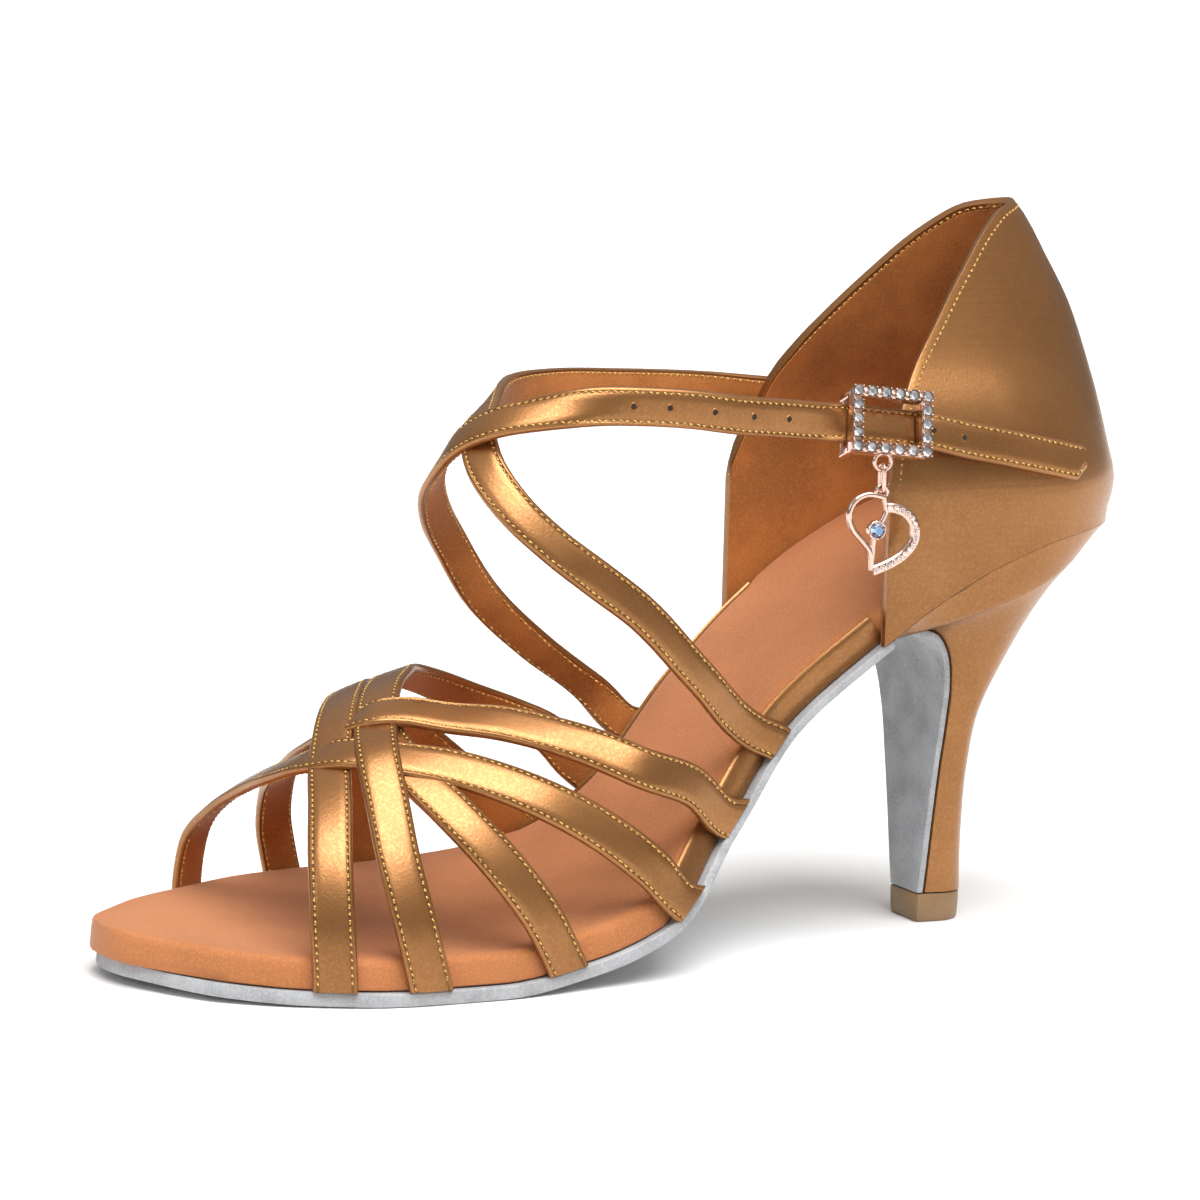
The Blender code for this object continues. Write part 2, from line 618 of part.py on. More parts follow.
def counter_face(x, z, side, off):
    """A point off the counter's outer face at a place x and height z, and its normal."""
    def out(x, z):
        front = counter_front(side)
        squeeze = (counter_back(z) - front) / (SEAT_BACK_X - front)
        return seat_half(front + (x - front) / squeeze, side) * counter_lean(z)

    step = 0.0005
    along = (out(x + step, z) - out(x - step, z)) / (2 * step)
    rise = (out(x, z + step) - out(x, z - step)) / (2 * step)
    normal = Vector((-along, side, -rise)).normalized()
    return Vector((x, side * out(x, z), z)) + normal * off, normal


def build_counter():
    """The heel cup, one wall round both sides and the back."""
    columns = []
    for side in (OUTER, INNER):
        front = counter_front(side)
        count = COUNTER_SIDE_COLUMNS
        places = [front + (SEAT_MID_X - front) * (k / count) ** 1.3 for k in range(count)]
        for degrees in (0,) + TURN_DEGREES:
            places.append(SEAT_MID_X + (SEAT_BACK_X - SEAT_MID_X) * sin(radians(degrees)))
        if side == OUTER:
            places.append(SEAT_BACK_X)
        else:
            places = places[::-1]
        columns += [(x, side) for x in places]
    outside = []
    for x, side in columns:
        low = counter_bottom(x, side)
        high = counter_height(x, side)
        heights = [low + (high - low) * k / COUNTER_ROWS for k in range(COUNTER_ROWS + 1)]
        outside.append([counter_place(x, z, side) for z in heights])
    inside = []
    for j, strip in enumerate(outside):
        before = outside[max(j - 1, 0)]
        after = outside[min(j + 1, len(outside) - 1)]
        wall = []
        for k, point in enumerate(strip):
            along = after[k] - before[k]
            up = strip[min(k + 1, COUNTER_ROWS)] - strip[max(k - 1, 0)]
            wall.append(point + up.cross(along).normalized() * COUNTER_WALL)
        inside.append(wall)
    rings = [out + wall[::-1] for out, wall in zip(outside, inside)]
    return skin(rings, "counter", "gold")


# Straps

def smooth_rows(rows, steps):
    """Rows of numbers with smooth in-between rows; the first three are places."""
    gaps = [(Vector(b[:3]) - Vector(a[:3])).length for a, b in zip(rows, rows[1:])]
    rates = [[(q - p) / gap for p, q in zip(a, b)] for a, b, gap in zip(rows, rows[1:], gaps)]
    slopes = [rates[0]]
    for k in range(1, len(rates)):
        share = gaps[k] / (gaps[k - 1] + gaps[k])
        slopes.append([p * share + q * (1 - share) for p, q in zip(rates[k - 1], rates[k])])
    slopes.append(rates[-1])
    dense = []
    for k, gap in enumerate(gaps):
        for j in range(steps):
            t = j / steps
            dense.append([a * (1 + 2 * t) * (1 - t) ** 2 + b * t * t * (3 - 2 * t)
                          + gap * (m * t * (1 - t) ** 2 + n * t * t * (t - 1))
                          for a, b, m, n in zip(rows[k], rows[k + 1], slopes[k], slopes[k + 1])])
    dense.append(list(rows[-1]))
    return dense


def outline_normal(x, side):
    """Outwards from the insole's outline, level."""
    step = SHOE_LENGTH * 0.01
    flare = (insole_half(x + step, side) - insole_half(x - step, side)) / (2 * step)
    return Vector((-flare, side, 0)).normalized()


def strap_reach(x, side):
    """From the middle line to a strap's middle layer where it passes the insole's edge."""
    off = GAP * 1.3 + STRAP_THICK / 2
    step = STRAP_WIDTH * 0.6
    ends = (insole_half(x - step, side) + insole_half(x + step, side)) / 2
    hollow = max(0.0, ends - insole_half(x, side))
    return insole_half(x, side) + hollow + off / abs(outline_normal(x, side).y)


def foot_point(x, around, sag=0.0):
    """A point of the straps' middle layer on the foot's form."""
    outer = strap_reach(x, OUTER)
    inner = strap_reach(x, INNER)
    turn = pi * min(max(around, 0.0), 1.0)
    y = (inner - outer) / 2 - (inner + outer) / 2 * cos(turn)
    depth = max(-around, around - 1.0, 0.0) * INSOLE_THICK
    point = bed_point(x, y, depth)
    point.z += instep(x) * sin(turn) * (1 - sag)
    return point


def foot_normal(x, around):
    step = 0.01
    middle = min(max(around, step), 1 - step)
    along = foot_point(x + 0.001, middle) - foot_point(x - 0.001, middle)
    across = foot_point(x, middle + step) - foot_point(x, middle - step)
    normal = along.cross(across).normalized()
    edge = ease(max(-around, around - 1.0), -0.05, 0.2)
    side = OUTER if around < 0.5 else INNER
    return normal.lerp(outline_normal(x, side), edge).normalized()


def strap_path(pairs, steps):
    """Points and normals along a strap, with smooth ones in between."""
    rows = smooth_rows([list(point) + list(normal) for point, normal in pairs], steps)
    return [(Vector(row[:3]), Vector(row[3:]).normalized()) for row in rows]


def strap_solid(path, name, width, tip=()):
    """A flat strap along (point, normal) pairs; tip narrows its first sections."""
    half = width / 2
    flat = STRAP_THICK / 2
    rings = []
    for k, (point, normal) in enumerate(path):
        before = path[max(k - 1, 0)][0]
        after = path[min(k + 1, len(path) - 1)][0]
        along = (after - before).normalized()
        side = along.cross(normal).normalized()
        face = side.cross(along)
        low = half
        high = half
        if k < len(tip):
            low, high = (half * share for share in tip[k])
        edge = [(-low + STRAP_EDGE, -flat), (-low, -flat + STRAP_EDGE),
                (-low, flat - STRAP_EDGE), (-low + STRAP_EDGE, flat),
                (high - STRAP_EDGE, flat), (high, flat - STRAP_EDGE),
                (high, -flat + STRAP_EDGE), (high - STRAP_EDGE, -flat)]
        rings.append([point + side * y + face * z for y, z in edge])
    return skin(rings, name, "gold")


def trim_block():
    """Everything under the insole's underside, which ends each strap level with it."""
    rings = []
    stations = [x for x in front_stations() if x > 0.04 * SHOE_LENGTH]
    stations += [arch_station(k) for k in range(RAND_LAST + 1)]
    for x in stations:
        ring = []
        for side in (OUTER, INNER):
            half = insole_half(x, side) + TRIM_REACH
            corners = [(half, INSOLE_THICK + TRIM_REACH), (half, INSOLE_THICK)]
            points = [bed_point(x, side * y, depth) for y, depth in corners]
            ring += points if side == OUTER else points[::-1]
        rings.append(ring)
    return skin(rings, "trim", "gold")


def build_vamp():
    straps = []
    for k, rows in enumerate(VAMP):
        pairs = []
        for station, around, lift, sag in rows:
            x = station * SHOE_LENGTH
            normal = foot_normal(x, around)
            pairs.append((foot_point(x, around, sag) + normal * lift * WEAVE_STEP, normal))
        path = strap_path(pairs, VAMP_STEPS)
        straps.append(strap_solid(path, "vamp_straps" if k == 0 else "strap", STRAP_WIDTH))
    vamp = fuse(straps[0], straps[1:])
    return fuse(vamp, [trim_block()], "DIFFERENCE")


def free_normal(point, low_tilt):
    """Outwards from the ankle, and upwards where the strap lies over the instep."""
    pull = min(0.0, point.x - ANKLE * SHOE_LENGTH) * 0.9
    high = ease(point.z, TILT_HEIGHT[0] * COUNTER_TOP, TILT_HEIGHT[1] * COUNTER_TOP)
    behind = ease(point.x, TILT_FRONT[0] * SHOE_LENGTH, TILT_FRONT[1] * SHOE_LENGTH)
    level = Vector((pull, point.y, 0)).normalized()
    tilt = max((1 - high) * low_tilt, (1 - behind) * FRONT_TILT)
    return (level + Vector((0, 0, tilt))).normalized()


def shares(rows):
    return [Vector((x * SHOE_LENGTH, y * BALL_WIDTH, z * COUNTER_TOP)) for x, y, z in rows]


def anchor_pairs(stations, side):
    """A strap's way from the insole's underside up over its edge."""
    top, bottom = (station * SHOE_LENGTH for station in stations)
    around = 0.0 if side == OUTER else 1.0
    low = outline_normal(bottom, side)
    return [(foot_point(bottom, around + side * 1.9), low),
            (foot_point(bottom, around + side * 0.9), low),
            (foot_point(top, around + side * 0.05), outline_normal(top, side))]


def over_layer():
    """From the counter's face to the strap's middle, over the buckle's tab."""
    return 2 * GAP + TAB_THICK + GAP + STRAP_THICK / 2


def tail_pairs():
    pairs = []
    low = GAP + STRAP_THICK / 2
    start = OVER_TAIL[2][0]
    for x, z in OVER_TAIL + (BUCKLE_AT, BUCKLE_BEFORE):
        off = low + (over_layer() - low) * ease(start - x, 0.0, start - OVER_TAIL[-1][0])
        pairs.append(counter_face(x * SHOE_LENGTH, z * COUNTER_TOP, OUTER, off))
    return pairs


def build_instep():
    under = anchor_pairs(UNDER_ANCHOR, OUTER)
    under += [(p, free_normal(p, UNDER_TILT)) for p in shares(UNDER_STRAP)]
    off = GAP + STRAP_THICK / 2
    under += [counter_face(x * SHOE_LENGTH, z * COUNTER_TOP, INNER, off) for x, z in UNDER_END]
    over = tail_pairs()
    over += [(p, free_normal(p, OVER_TILT)) for p in shares(OVER_STRAP)]
    over += anchor_pairs(OVER_ANCHOR, INNER)[::-1]
    tip = ((0.25, 0.9), (0.55, 1.0), (0.85, 1.0))
    straps = strap_solid(strap_path(over, LONG_STEPS), "instep_straps", LONG_WIDTH, tip)
    straps = fuse(straps, [strap_solid(strap_path(under, LONG_STEPS), "strap", LONG_WIDTH)])
    return fuse(straps, [trim_block()], "DIFFERENCE")


# Buckle, tab and charm

def buckle_frame():
    """The buckle's own axes at its middle: along the strap, outwards and up it."""
    point, out = counter_face(BUCKLE_AT[0] * SHOE_LENGTH, BUCKLE_AT[1] * COUNTER_TOP,
                              OUTER, over_layer())
    ahead = tail_pairs()[-1][0]
    behind = tail_pairs()[-3][0]
    along = (behind - ahead).normalized()
    up = along.cross(-out).normalized()
    if up.z < 0:
        up = -up
    along = (along - out * along.dot(out)).normalized()
    turn = Matrix((along, out, up)).transposed().to_4x4()
    return Matrix.Translation(point) @ turn


def upright_frame(place):
    """The same place, but hanging plumb."""
    out = place.to_3x3() @ Vector((0, 1, 0))
    out = Vector((out.x, out.y, 0)).normalized()
    up = Vector((0, 0, 1))
    along = Vector((-out.y, out.x, 0))
    eye = place @ Vector((EYE_ALONG, BUCKLE_BACK + BUCKLE_DEEP / 2,
                          -BUCKLE_HIGH / 2 - EYE_RADIUS + WIRE))
    return Matrix.Translation(eye) @ Matrix((along, out, up)).transposed().to_4x4()


BUCKLE_BACK = STRAP_THICK / 2 + GAP * 1.8
BAR_BACK = STRAP_THICK / 2 + GAP + TAB_THICK + GAP + BAR_RADIUS


def rounded_corners(long, high, round_off):
    points = []
    for sx, sz, start in ((1, 1, 0), (-1, 1, 90), (-1, -1, 180), (1, -1, 270)):
        for degrees in (start, start + 45, start + 90):
            turn = radians(degrees)
            points.append((sx * (long / 2 - round_off) + round_off * cos(turn),
                           sz * (high / 2 - round_off) + round_off * sin(turn)))
    return points


def closed_ring(loops, name, finish, place):
    """A ring-shaped solid through loops that run round its section."""
    bm = bmesh.new()
    rows = [[bm.verts.new(place @ Vector(p)) for p in loop] for loop in loops]
    count = len(loops[0])
    for a, b in zip(rows, rows[1:] + rows[:1]):
        for j in range(count):
            k = (j + 1) % count
            bm.faces.new((a[j], a[k], b[k], b[j]))
    return make_object(name, bm, finish)


def wire_ring(centres, radius, name, place, sides=6):
    """A closed wire through points in one plane, x and z, y or z given in full."""
    count = len(centres)
    middle = sum((Vector(c) for c in centres), Vector()) / count
    loops = []
    for k in range(sides):
        turn = 2 * pi * k / sides
        loop = []
        for j, centre in enumerate(centres):
            point = Vector(centre)
            ahead = Vector(centres[(j + 1) % count]) - Vector(centres[j - 1])
            axis = ahead.cross(point - middle).normalized()
            away = axis.cross(ahead).normalized()
            loop.append(point + (away * cos(turn) + axis * sin(turn)) * radius)
        loops.append(loop)
    return closed_ring(loops, name, "metal", place)


def box(low, high, name, place, finish="metal"):
    bm = bmesh.new()
    bmesh.ops.create_cube(bm, size=1.0)
    size = Vector(high) - Vector(low)
    middle = (Vector(high) + Vector(low)) / 2
    bmesh.ops.scale(bm, vec=size, verts=bm.verts)
    bmesh.ops.translate(bm, vec=middle, verts=bm.verts)
    bmesh.ops.transform(bm, matrix=place, verts=bm.verts)
    return make_object(name, bm, finish)


def rod(radius, length, name, place, sides=12, finish="metal"):
    bm = bmesh.new()
    bmesh.ops.create_cone(bm, cap_ends=True, segments=sides, radius1=radius, radius2=radius,
                          depth=length)
    bmesh.ops.transform(bm, matrix=place, verts=bm.verts)
    return make_object(name, bm, finish)


def circle(radius, count):
    """Points of an upright circle, in the plane of the shoe's length and height."""
    turns = [2 * pi * k / count for k in range(count)]
    return [(radius * cos(turn), 0, radius * sin(turn)) for turn in turns]


def bar_along():
    return -(BUCKLE_LONG - BUCKLE_BAND) / 2


def build_buckle(place):
    outer = rounded_corners(BUCKLE_LONG, BUCKLE_HIGH, BUCKLE_ROUND)
    inner = rounded_corners(BUCKLE_LONG - 2 * BUCKLE_BAND, BUCKLE_HIGH - 2 * BUCKLE_BAND,
                            BUCKLE_ROUND * 0.3)
    soft = rounded_corners(BUCKLE_LONG - 0.0005, BUCKLE_HIGH - 0.0005, BUCKLE_ROUND)
    front = BUCKLE_BACK + BUCKLE_DEEP
    loops = [[(x, BUCKLE_BACK, z) for x, z in outer], [(x, front - 0.0003, z) for x, z in outer],
             [(x, front, z) for x, z in soft], [(x, front, z) for x, z in inner],
             [(x, BUCKLE_BACK, z) for x, z in inner]]
    buckle = closed_ring(loops, "buckle", "metal", place)
    level = BUCKLE_HIGH / 2 - BUCKLE_BAND / 2
    reach = BAR_BACK + BAR_RADIUS * 1.15
    x = bar_along()
    parts = [rod(BAR_RADIUS, 2 * level, "bar",
                 place @ Matrix.Translation((x, -BAR_BACK, 0)))]
    for sign in (-1, 1):
        middle = sign * (BUCKLE_HIGH - BUCKLE_BAND) / 2
        low = (x - POST_WIDTH / 2, -reach, middle - POST_DEEP / 2)
        high = (x + POST_WIDTH / 2, BUCKLE_BACK + BUCKLE_BAND / 2, middle + POST_DEEP / 2)
        parts.append(box(low, high, "post", place))
    upright = upright_frame(place)
    parts.append(wire_ring(circle(EYE_RADIUS, 16), WIRE, "eye", upright))
    return fuse(buckle, parts, merge=METAL_SLIVER)


def build_tab(place):
    """Short strap from the counter, looped round the buckle's bar."""
    x = bar_along()
    inner = BAR_RADIUS + GAP
    outer = inner + TAB_THICK
    count = 14
    loops = []
    for radius, z in ((inner, -TAB_HIGH / 2), (outer, -TAB_HIGH / 2),
                      (outer, TAB_HIGH / 2), (inner, TAB_HIGH / 2)):
        loops.append([(x + radius * cos(2 * pi * k / count),
                       -BAR_BACK + radius * sin(2 * pi * k / count), z) for k in range(count)])
    tab = closed_ring(loops, "buckle_tab", "gold", place)
    top = -(STRAP_THICK / 2 + GAP)
    plate = box((x, top - TAB_THICK, -TAB_HIGH / 2), (x + TAB_LONG, top, TAB_HIGH / 2), "plate",
                place, "gold")
    return fuse(tab, [plate])


def set_origin(obj, point):
    obj.data.transform(Matrix.Translation(-point))
    obj.location = point


def build_link(upright):
    """Link between the eye and the heart, free to swing outwards."""
    bend = 2 * WIRE + GAP
    points = []
    for k in range(9):
        turn = pi * k / 8
        points.append((0, bend * cos(turn), -EYE_RADIUS + bend * sin(turn)))
    for k in range(9):
        turn = pi + pi * k / 8
        points.append((0, bend * cos(turn), -EYE_RADIUS - LINK_DROP + bend * sin(turn)))
    link = wire_ring(points, WIRE, "charm_link", upright)
    set_origin(link, upright @ Vector((0, 0, -EYE_RADIUS)))
    return link


def flat_wire(rows, wide, thick, name, place):
    """A flat band through points x and z, lying in the charm's plane."""
    path = [Vector(row) for row in smooth_rows([(x, 0, z) for x, z in rows], 2)]
    rings = []
    for k, middle in enumerate(path):
        along = (path[min(k + 1, len(path) - 1)] - path[max(k - 1, 0)]).normalized()
        side = Vector((along.z, 0, -along.x))
        edge = [(-1, -0.5), (-0.7, -1), (0.7, -1), (1, -0.5), (1, 0.5), (0.7, 1), (-0.7, 1),
                (-1, 0.5)]
        rings.append([place @ (middle + side * a * wide / 2 + Vector((0, b * thick / 2, 0)))
                      for a, b in edge])
    return skin(rings, name, "metal")


def build_heart(upright):
    """Open heart with a stone's seat, hung from the link by its own ring."""
    bend = 2 * WIRE + GAP
    pivot = Matrix.Translation((0, 0, -EYE_RADIUS - LINK_DROP - bend))
    place = upright @ pivot
    heart = wire_ring(circle(bend, 14), WIRE, "charm_heart", place)

    def sized(rows):
        return [(x * HEART_SIZE, z * HEART_SIZE) for x, z in rows]

    stone = Matrix.Translation((STONE_AT[0] * HEART_SIZE, 0, STONE_AT[1] * HEART_SIZE))
    tilt = Matrix.Rotation(pi / 2, 4, "X")
    parts = [
        flat_wire(sized(HEART_LOBE), 2 * HEART_WIRE, 2 * HEART_WIRE, "lobe", place),
        flat_wire(sized(HEART_STEM), 1.8 * HEART_WIRE, 1.8 * HEART_WIRE, "stem", place),
        flat_wire(sized(HEART_SIDE), HEART_BAND, HEART_THICK, "side", place),
        rod(STONE_RADIUS, HEART_THICK * 1.1, "seat", place @ stone @ tilt, 16),
    ]
    fuse(heart, parts, merge=METAL_SLIVER)
    set_origin(heart, place @ Vector((0, 0, 0)))
    return heart


def stand_on_origin(objects):
    """Carry every piece on one empty, with the middle of the floor print at the origin."""
    bpy.context.view_layer.update()
    corners = [obj.matrix_world @ v.co for obj in objects for v in obj.data.vertices]
    low = [min(c[k] for c in corners) for k in range(3)]
    high = [max(c[k] for c in corners) for k in range(3)]
    shoe = bpy.data.objects.new("shoe", None)
    bpy.context.scene.collection.objects.link(shoe)
    shoe.location = (-(low[0] + high[0]) / 2, -(low[1] + high[1]) / 2, -low[2])
    for obj in objects:
        obj.parent = shoe


def main():
    for obj in list(bpy.data.objects):
        bpy.data.objects.remove(obj)
    place = buckle_frame()
    upright = upright_frame(place)
    objects = [
        build_insole(),
        build_rand(OUTER, "rand_outer"),
        build_rand(INNER, "rand_inner"),
        build_sole(),
        build_heel(),
        build_tip(),
        build_counter(),
        build_vamp(),
        build_instep(),
        build_buckle(place),
        build_tab(place),
        build_link(upright),
        build_heart(upright),
    ]
    stand_on_origin(objects)


main()
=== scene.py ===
"""Looks of a ballroom dance shoe, left foot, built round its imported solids.

Metres, +Z up. The shoe's own frame starts at the toe tip; SHIFT carries it to the frame.
"""

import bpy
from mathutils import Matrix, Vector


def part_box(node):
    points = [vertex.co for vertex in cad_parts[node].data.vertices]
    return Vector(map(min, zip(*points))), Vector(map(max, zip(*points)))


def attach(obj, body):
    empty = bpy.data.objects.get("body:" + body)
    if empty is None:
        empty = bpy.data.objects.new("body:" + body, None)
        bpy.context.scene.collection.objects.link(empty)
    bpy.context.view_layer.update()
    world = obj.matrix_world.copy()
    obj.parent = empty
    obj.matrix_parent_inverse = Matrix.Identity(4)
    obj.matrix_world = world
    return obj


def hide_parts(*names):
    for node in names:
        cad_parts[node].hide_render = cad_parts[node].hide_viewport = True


bl_info = {
    "name": "Ballroom dance shoe",
    "version": (1, 0, 0),
    "blender": (4, 5, 0),
    "location": "View3D > Sidebar > Dance shoe",
    "description": "Leather, stitching, buckle and charm of a ballroom dance shoe",
    "category": "Add Mesh",
}

from math import atan, cos, pi, radians, sin, sqrt

import bmesh
import bpy
from mathutils import Matrix, Vector
from mathutils.bvhtree import BVHTree

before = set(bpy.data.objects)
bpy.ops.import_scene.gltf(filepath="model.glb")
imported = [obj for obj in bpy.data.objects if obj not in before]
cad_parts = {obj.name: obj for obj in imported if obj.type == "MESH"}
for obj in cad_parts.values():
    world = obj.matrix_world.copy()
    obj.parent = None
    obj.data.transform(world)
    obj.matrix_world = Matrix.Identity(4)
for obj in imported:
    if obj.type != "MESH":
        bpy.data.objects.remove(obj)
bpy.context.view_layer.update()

# The shoe's sizes, as its solids have them, in metres
SHOE_LENGTH = 0.208       # toe tip of the insole to the back of the counter
BALL_WIDTH = 0.0845       # insole, edge to edge, across the ball
HEEL_RISE = 0.0765        # how far the insole climbs from the ball to the back
INSTEP_HEIGHT = 0.047     # top of the foot above the insole, behind the toes
COUNTER_TOP = 0.1404      # floor to the top of the counter at the back
SEAT_HALF = 0.028         # half width of the counter at the heel seat

# Walls, layers and gaps
GAP = 0.0003
INSOLE_THICK = 0.0056
INSOLE_ROUND = 0.0016
INSOLE_EASE = 0.0005      # clearance of the insole inside the counter
SOLE_THICK = 0.0025
SHANK_THICK = 0.0017
FLAP_THICK = 0.0013
SOLE_EDGE = 0.0012        # sole beyond the insole at the forefoot
SOLE_SETBACK = 0.0016     # of the sole behind the insole at the toe
SOLE_CHAMFER = 0.0004
COUNTER_WALL = 0.0018
RAND_THICK = 0.001
STRAP_WIDTH = 0.008
LONG_WIDTH = 0.0072       # the two long straps
STRAP_THICK = 0.0017
WEAVE_STEP = 0.00125      # how far a strap is raised where it crosses another

# Heel tip
TIP_HEIGHT = 0.0055

# Buckle, its bar, and the charm that hangs from it
BUCKLE_LONG = 0.0155
BUCKLE_HIGH = 0.0124
BUCKLE_BAND = 0.0019
BUCKLE_DEEP = 0.0034
BUCKLE_ROUND = 0.0009
BAR_RADIUS = 0.0006
POST_WIDTH = 0.0014
POST_DEEP = 0.0013
TAB_THICK = 0.0008
TAB_HIGH = 0.006
TAB_LONG = 0.0135
TAB_TURN = 250            # degrees of its loop round the bar
WIRE = 0.0004             # radius of the eye's and the link's wire
EYE_RADIUS = 0.0016
EYE_ALONG = -0.0012       # from the middle of the buckle
LINK_DROP = 0.0028        # between the link's two bends
HEART_SIZE = 0.0149
HEART_WIRE = 0.0006
HEART_BAND = 0.0021
HEART_THICK = 0.0013
STONE_RADIUS = 0.0017
BUCKLE_BACK = STRAP_THICK / 2 + GAP * 1.8     # from the strap's middle layer, outwards
BAR_BACK = STRAP_THICK / 2 + GAP + TAB_THICK + GAP + BAR_RADIUS   # the same, inwards
BAR_ALONG = -(BUCKLE_LONG - BUCKLE_BAND) / 2

# The insole's top line and outline: shares of SHOE_LENGTH, HEEL_RISE and BALL_WIDTH
BED = (
    # station, rise, outer, inner
    (0.000, 0.026, 0.036, 0.030),
    (0.006, 0.025, 0.088, 0.078),
    (0.014, 0.023, 0.128, 0.112),
    (0.027, 0.021, 0.174, 0.150),
    (0.048, 0.017, 0.236, 0.210),
    (0.072, 0.012, 0.296, 0.277),
    (0.135, 0.003, 0.395, 0.395),
    (0.216, 0.000, 0.458, 0.500),
    (0.298, 0.000, 0.463, 0.535),
    (0.379, 0.028, 0.441, 0.470),
    (0.451, 0.090, 0.420, 0.365),
    (0.523, 0.270, 0.305, 0.250),
    (0.595, 0.510, 0.258, 0.258),
    (0.667, 0.680, 0.280, 0.292),
    (0.739, 0.820, 0.302, 0.306),
    (0.812, 0.920, 0.306, 0.306),
    (0.875, 0.972, 0.306, 0.306),
    (0.940, 0.992, 0.306, 0.306),
    (1.000, 1.000, 0.306, 0.306),
)
SEAT_START = 0.60         # station from which the outline eases to the seat's width
SEAT_MID = 0.827          # station where the seat starts to turn round the back
SEAT_BACK = 0.984         # station of the back of the heel at the seat
SHANK = (0.40, 0.56)      # stations between which the sole thins to the shank
TOE_LENGTH = 0.07         # share over which the sole's edge comes out from under the toe
SHANK_END = 0.690         # station where the sole leaves the insole for the heel
RAND_START = 0.462
RAND_STEPS = 13           # sections of the insole between the rand's start and the seat
RAND_LAST = 8             # section at which the rand ends, inside the counter

# Height of the foot above the insole: shares of SHOE_LENGTH and INSTEP_HEIGHT
INSTEP = (
    # station, height
    (0.00, 0.20), (0.05, 0.34), (0.096, 0.51), (0.144, 0.66), (0.183, 0.745),
    (0.216, 0.81), (0.250, 0.872), (0.288, 0.936), (0.361, 1.00), (0.442, 1.00),
    (0.495, 0.979), (0.543, 0.936), (0.601, 0.851), (0.660, 0.76),
)

# Heel, from the seat down to the tip: shares of SHOE_LENGTH, HEEL_RISE and BALL_WIDTH,
# with the heights counted from the sole's top at the ball
HEEL = (
    # front x, front z, front half, back x, back z, half
    (0.719, 0.735, 0.279, 0.963, 0.969, 0.322),
    (0.750, 0.752, 0.247, 0.948, 0.925, 0.299),
    (0.777, 0.732, 0.215, 0.926, 0.868, 0.270),
    (0.795, 0.677, 0.188, 0.902, 0.778, 0.230),
    (0.804, 0.599, 0.165, 0.878, 0.656, 0.188),
    (0.807, 0.499, 0.140, 0.857, 0.532, 0.153),
    (0.807, 0.369, 0.115, 0.850, 0.382, 0.122),
    (0.807, 0.225, 0.092, 0.850, 0.225, 0.098),
    (0.807, 0.094, 0.073, 0.853, 0.094, 0.078),
)
HEEL_FOOT = (0.807, 0.064, 0.855, 0.069)  # front x, front half, back x and half at the tip
HEEL_WIDEST = 0.42        # share of a section's length at which it is widest
LIP = 0.3                 # where the heel's front lip starts, between the sole's two lines

# Back of the counter and how far its sides lean in: shares of COUNTER_TOP,
# SHOE_LENGTH and of its own half width at the seat
COUNTER_BACK = (
    # height, back, lean
    (0.30, 0.978, 1.000), (0.57, 0.984, 1.000), (0.617, 0.992, 1.000), (0.675, 0.983, 0.950),
    (0.731, 0.974, 0.855), (0.788, 0.964, 0.700), (0.857, 0.947, 0.560),
    (0.920, 0.923, 0.450), (0.980, 0.898, 0.340), (1.000, 0.886, 0.310),
)
# Top edge of the counter, front to back: shares of SHOE_LENGTH and COUNTER_TOP
COUNTER_EDGE = (
    # outer x, inner x, height
    (0.697, 0.665, 0.600), (0.700, 0.671, 0.645), (0.709, 0.689, 0.706),
    (0.725, 0.699, 0.755), (0.738, 0.710, 0.784), (0.765, 0.738, 0.836),
    (0.798, 0.780, 0.901), (0.833, 0.824, 0.960), (0.862, 0.856, 0.990),
    (0.886, 0.886, 1.000),
)

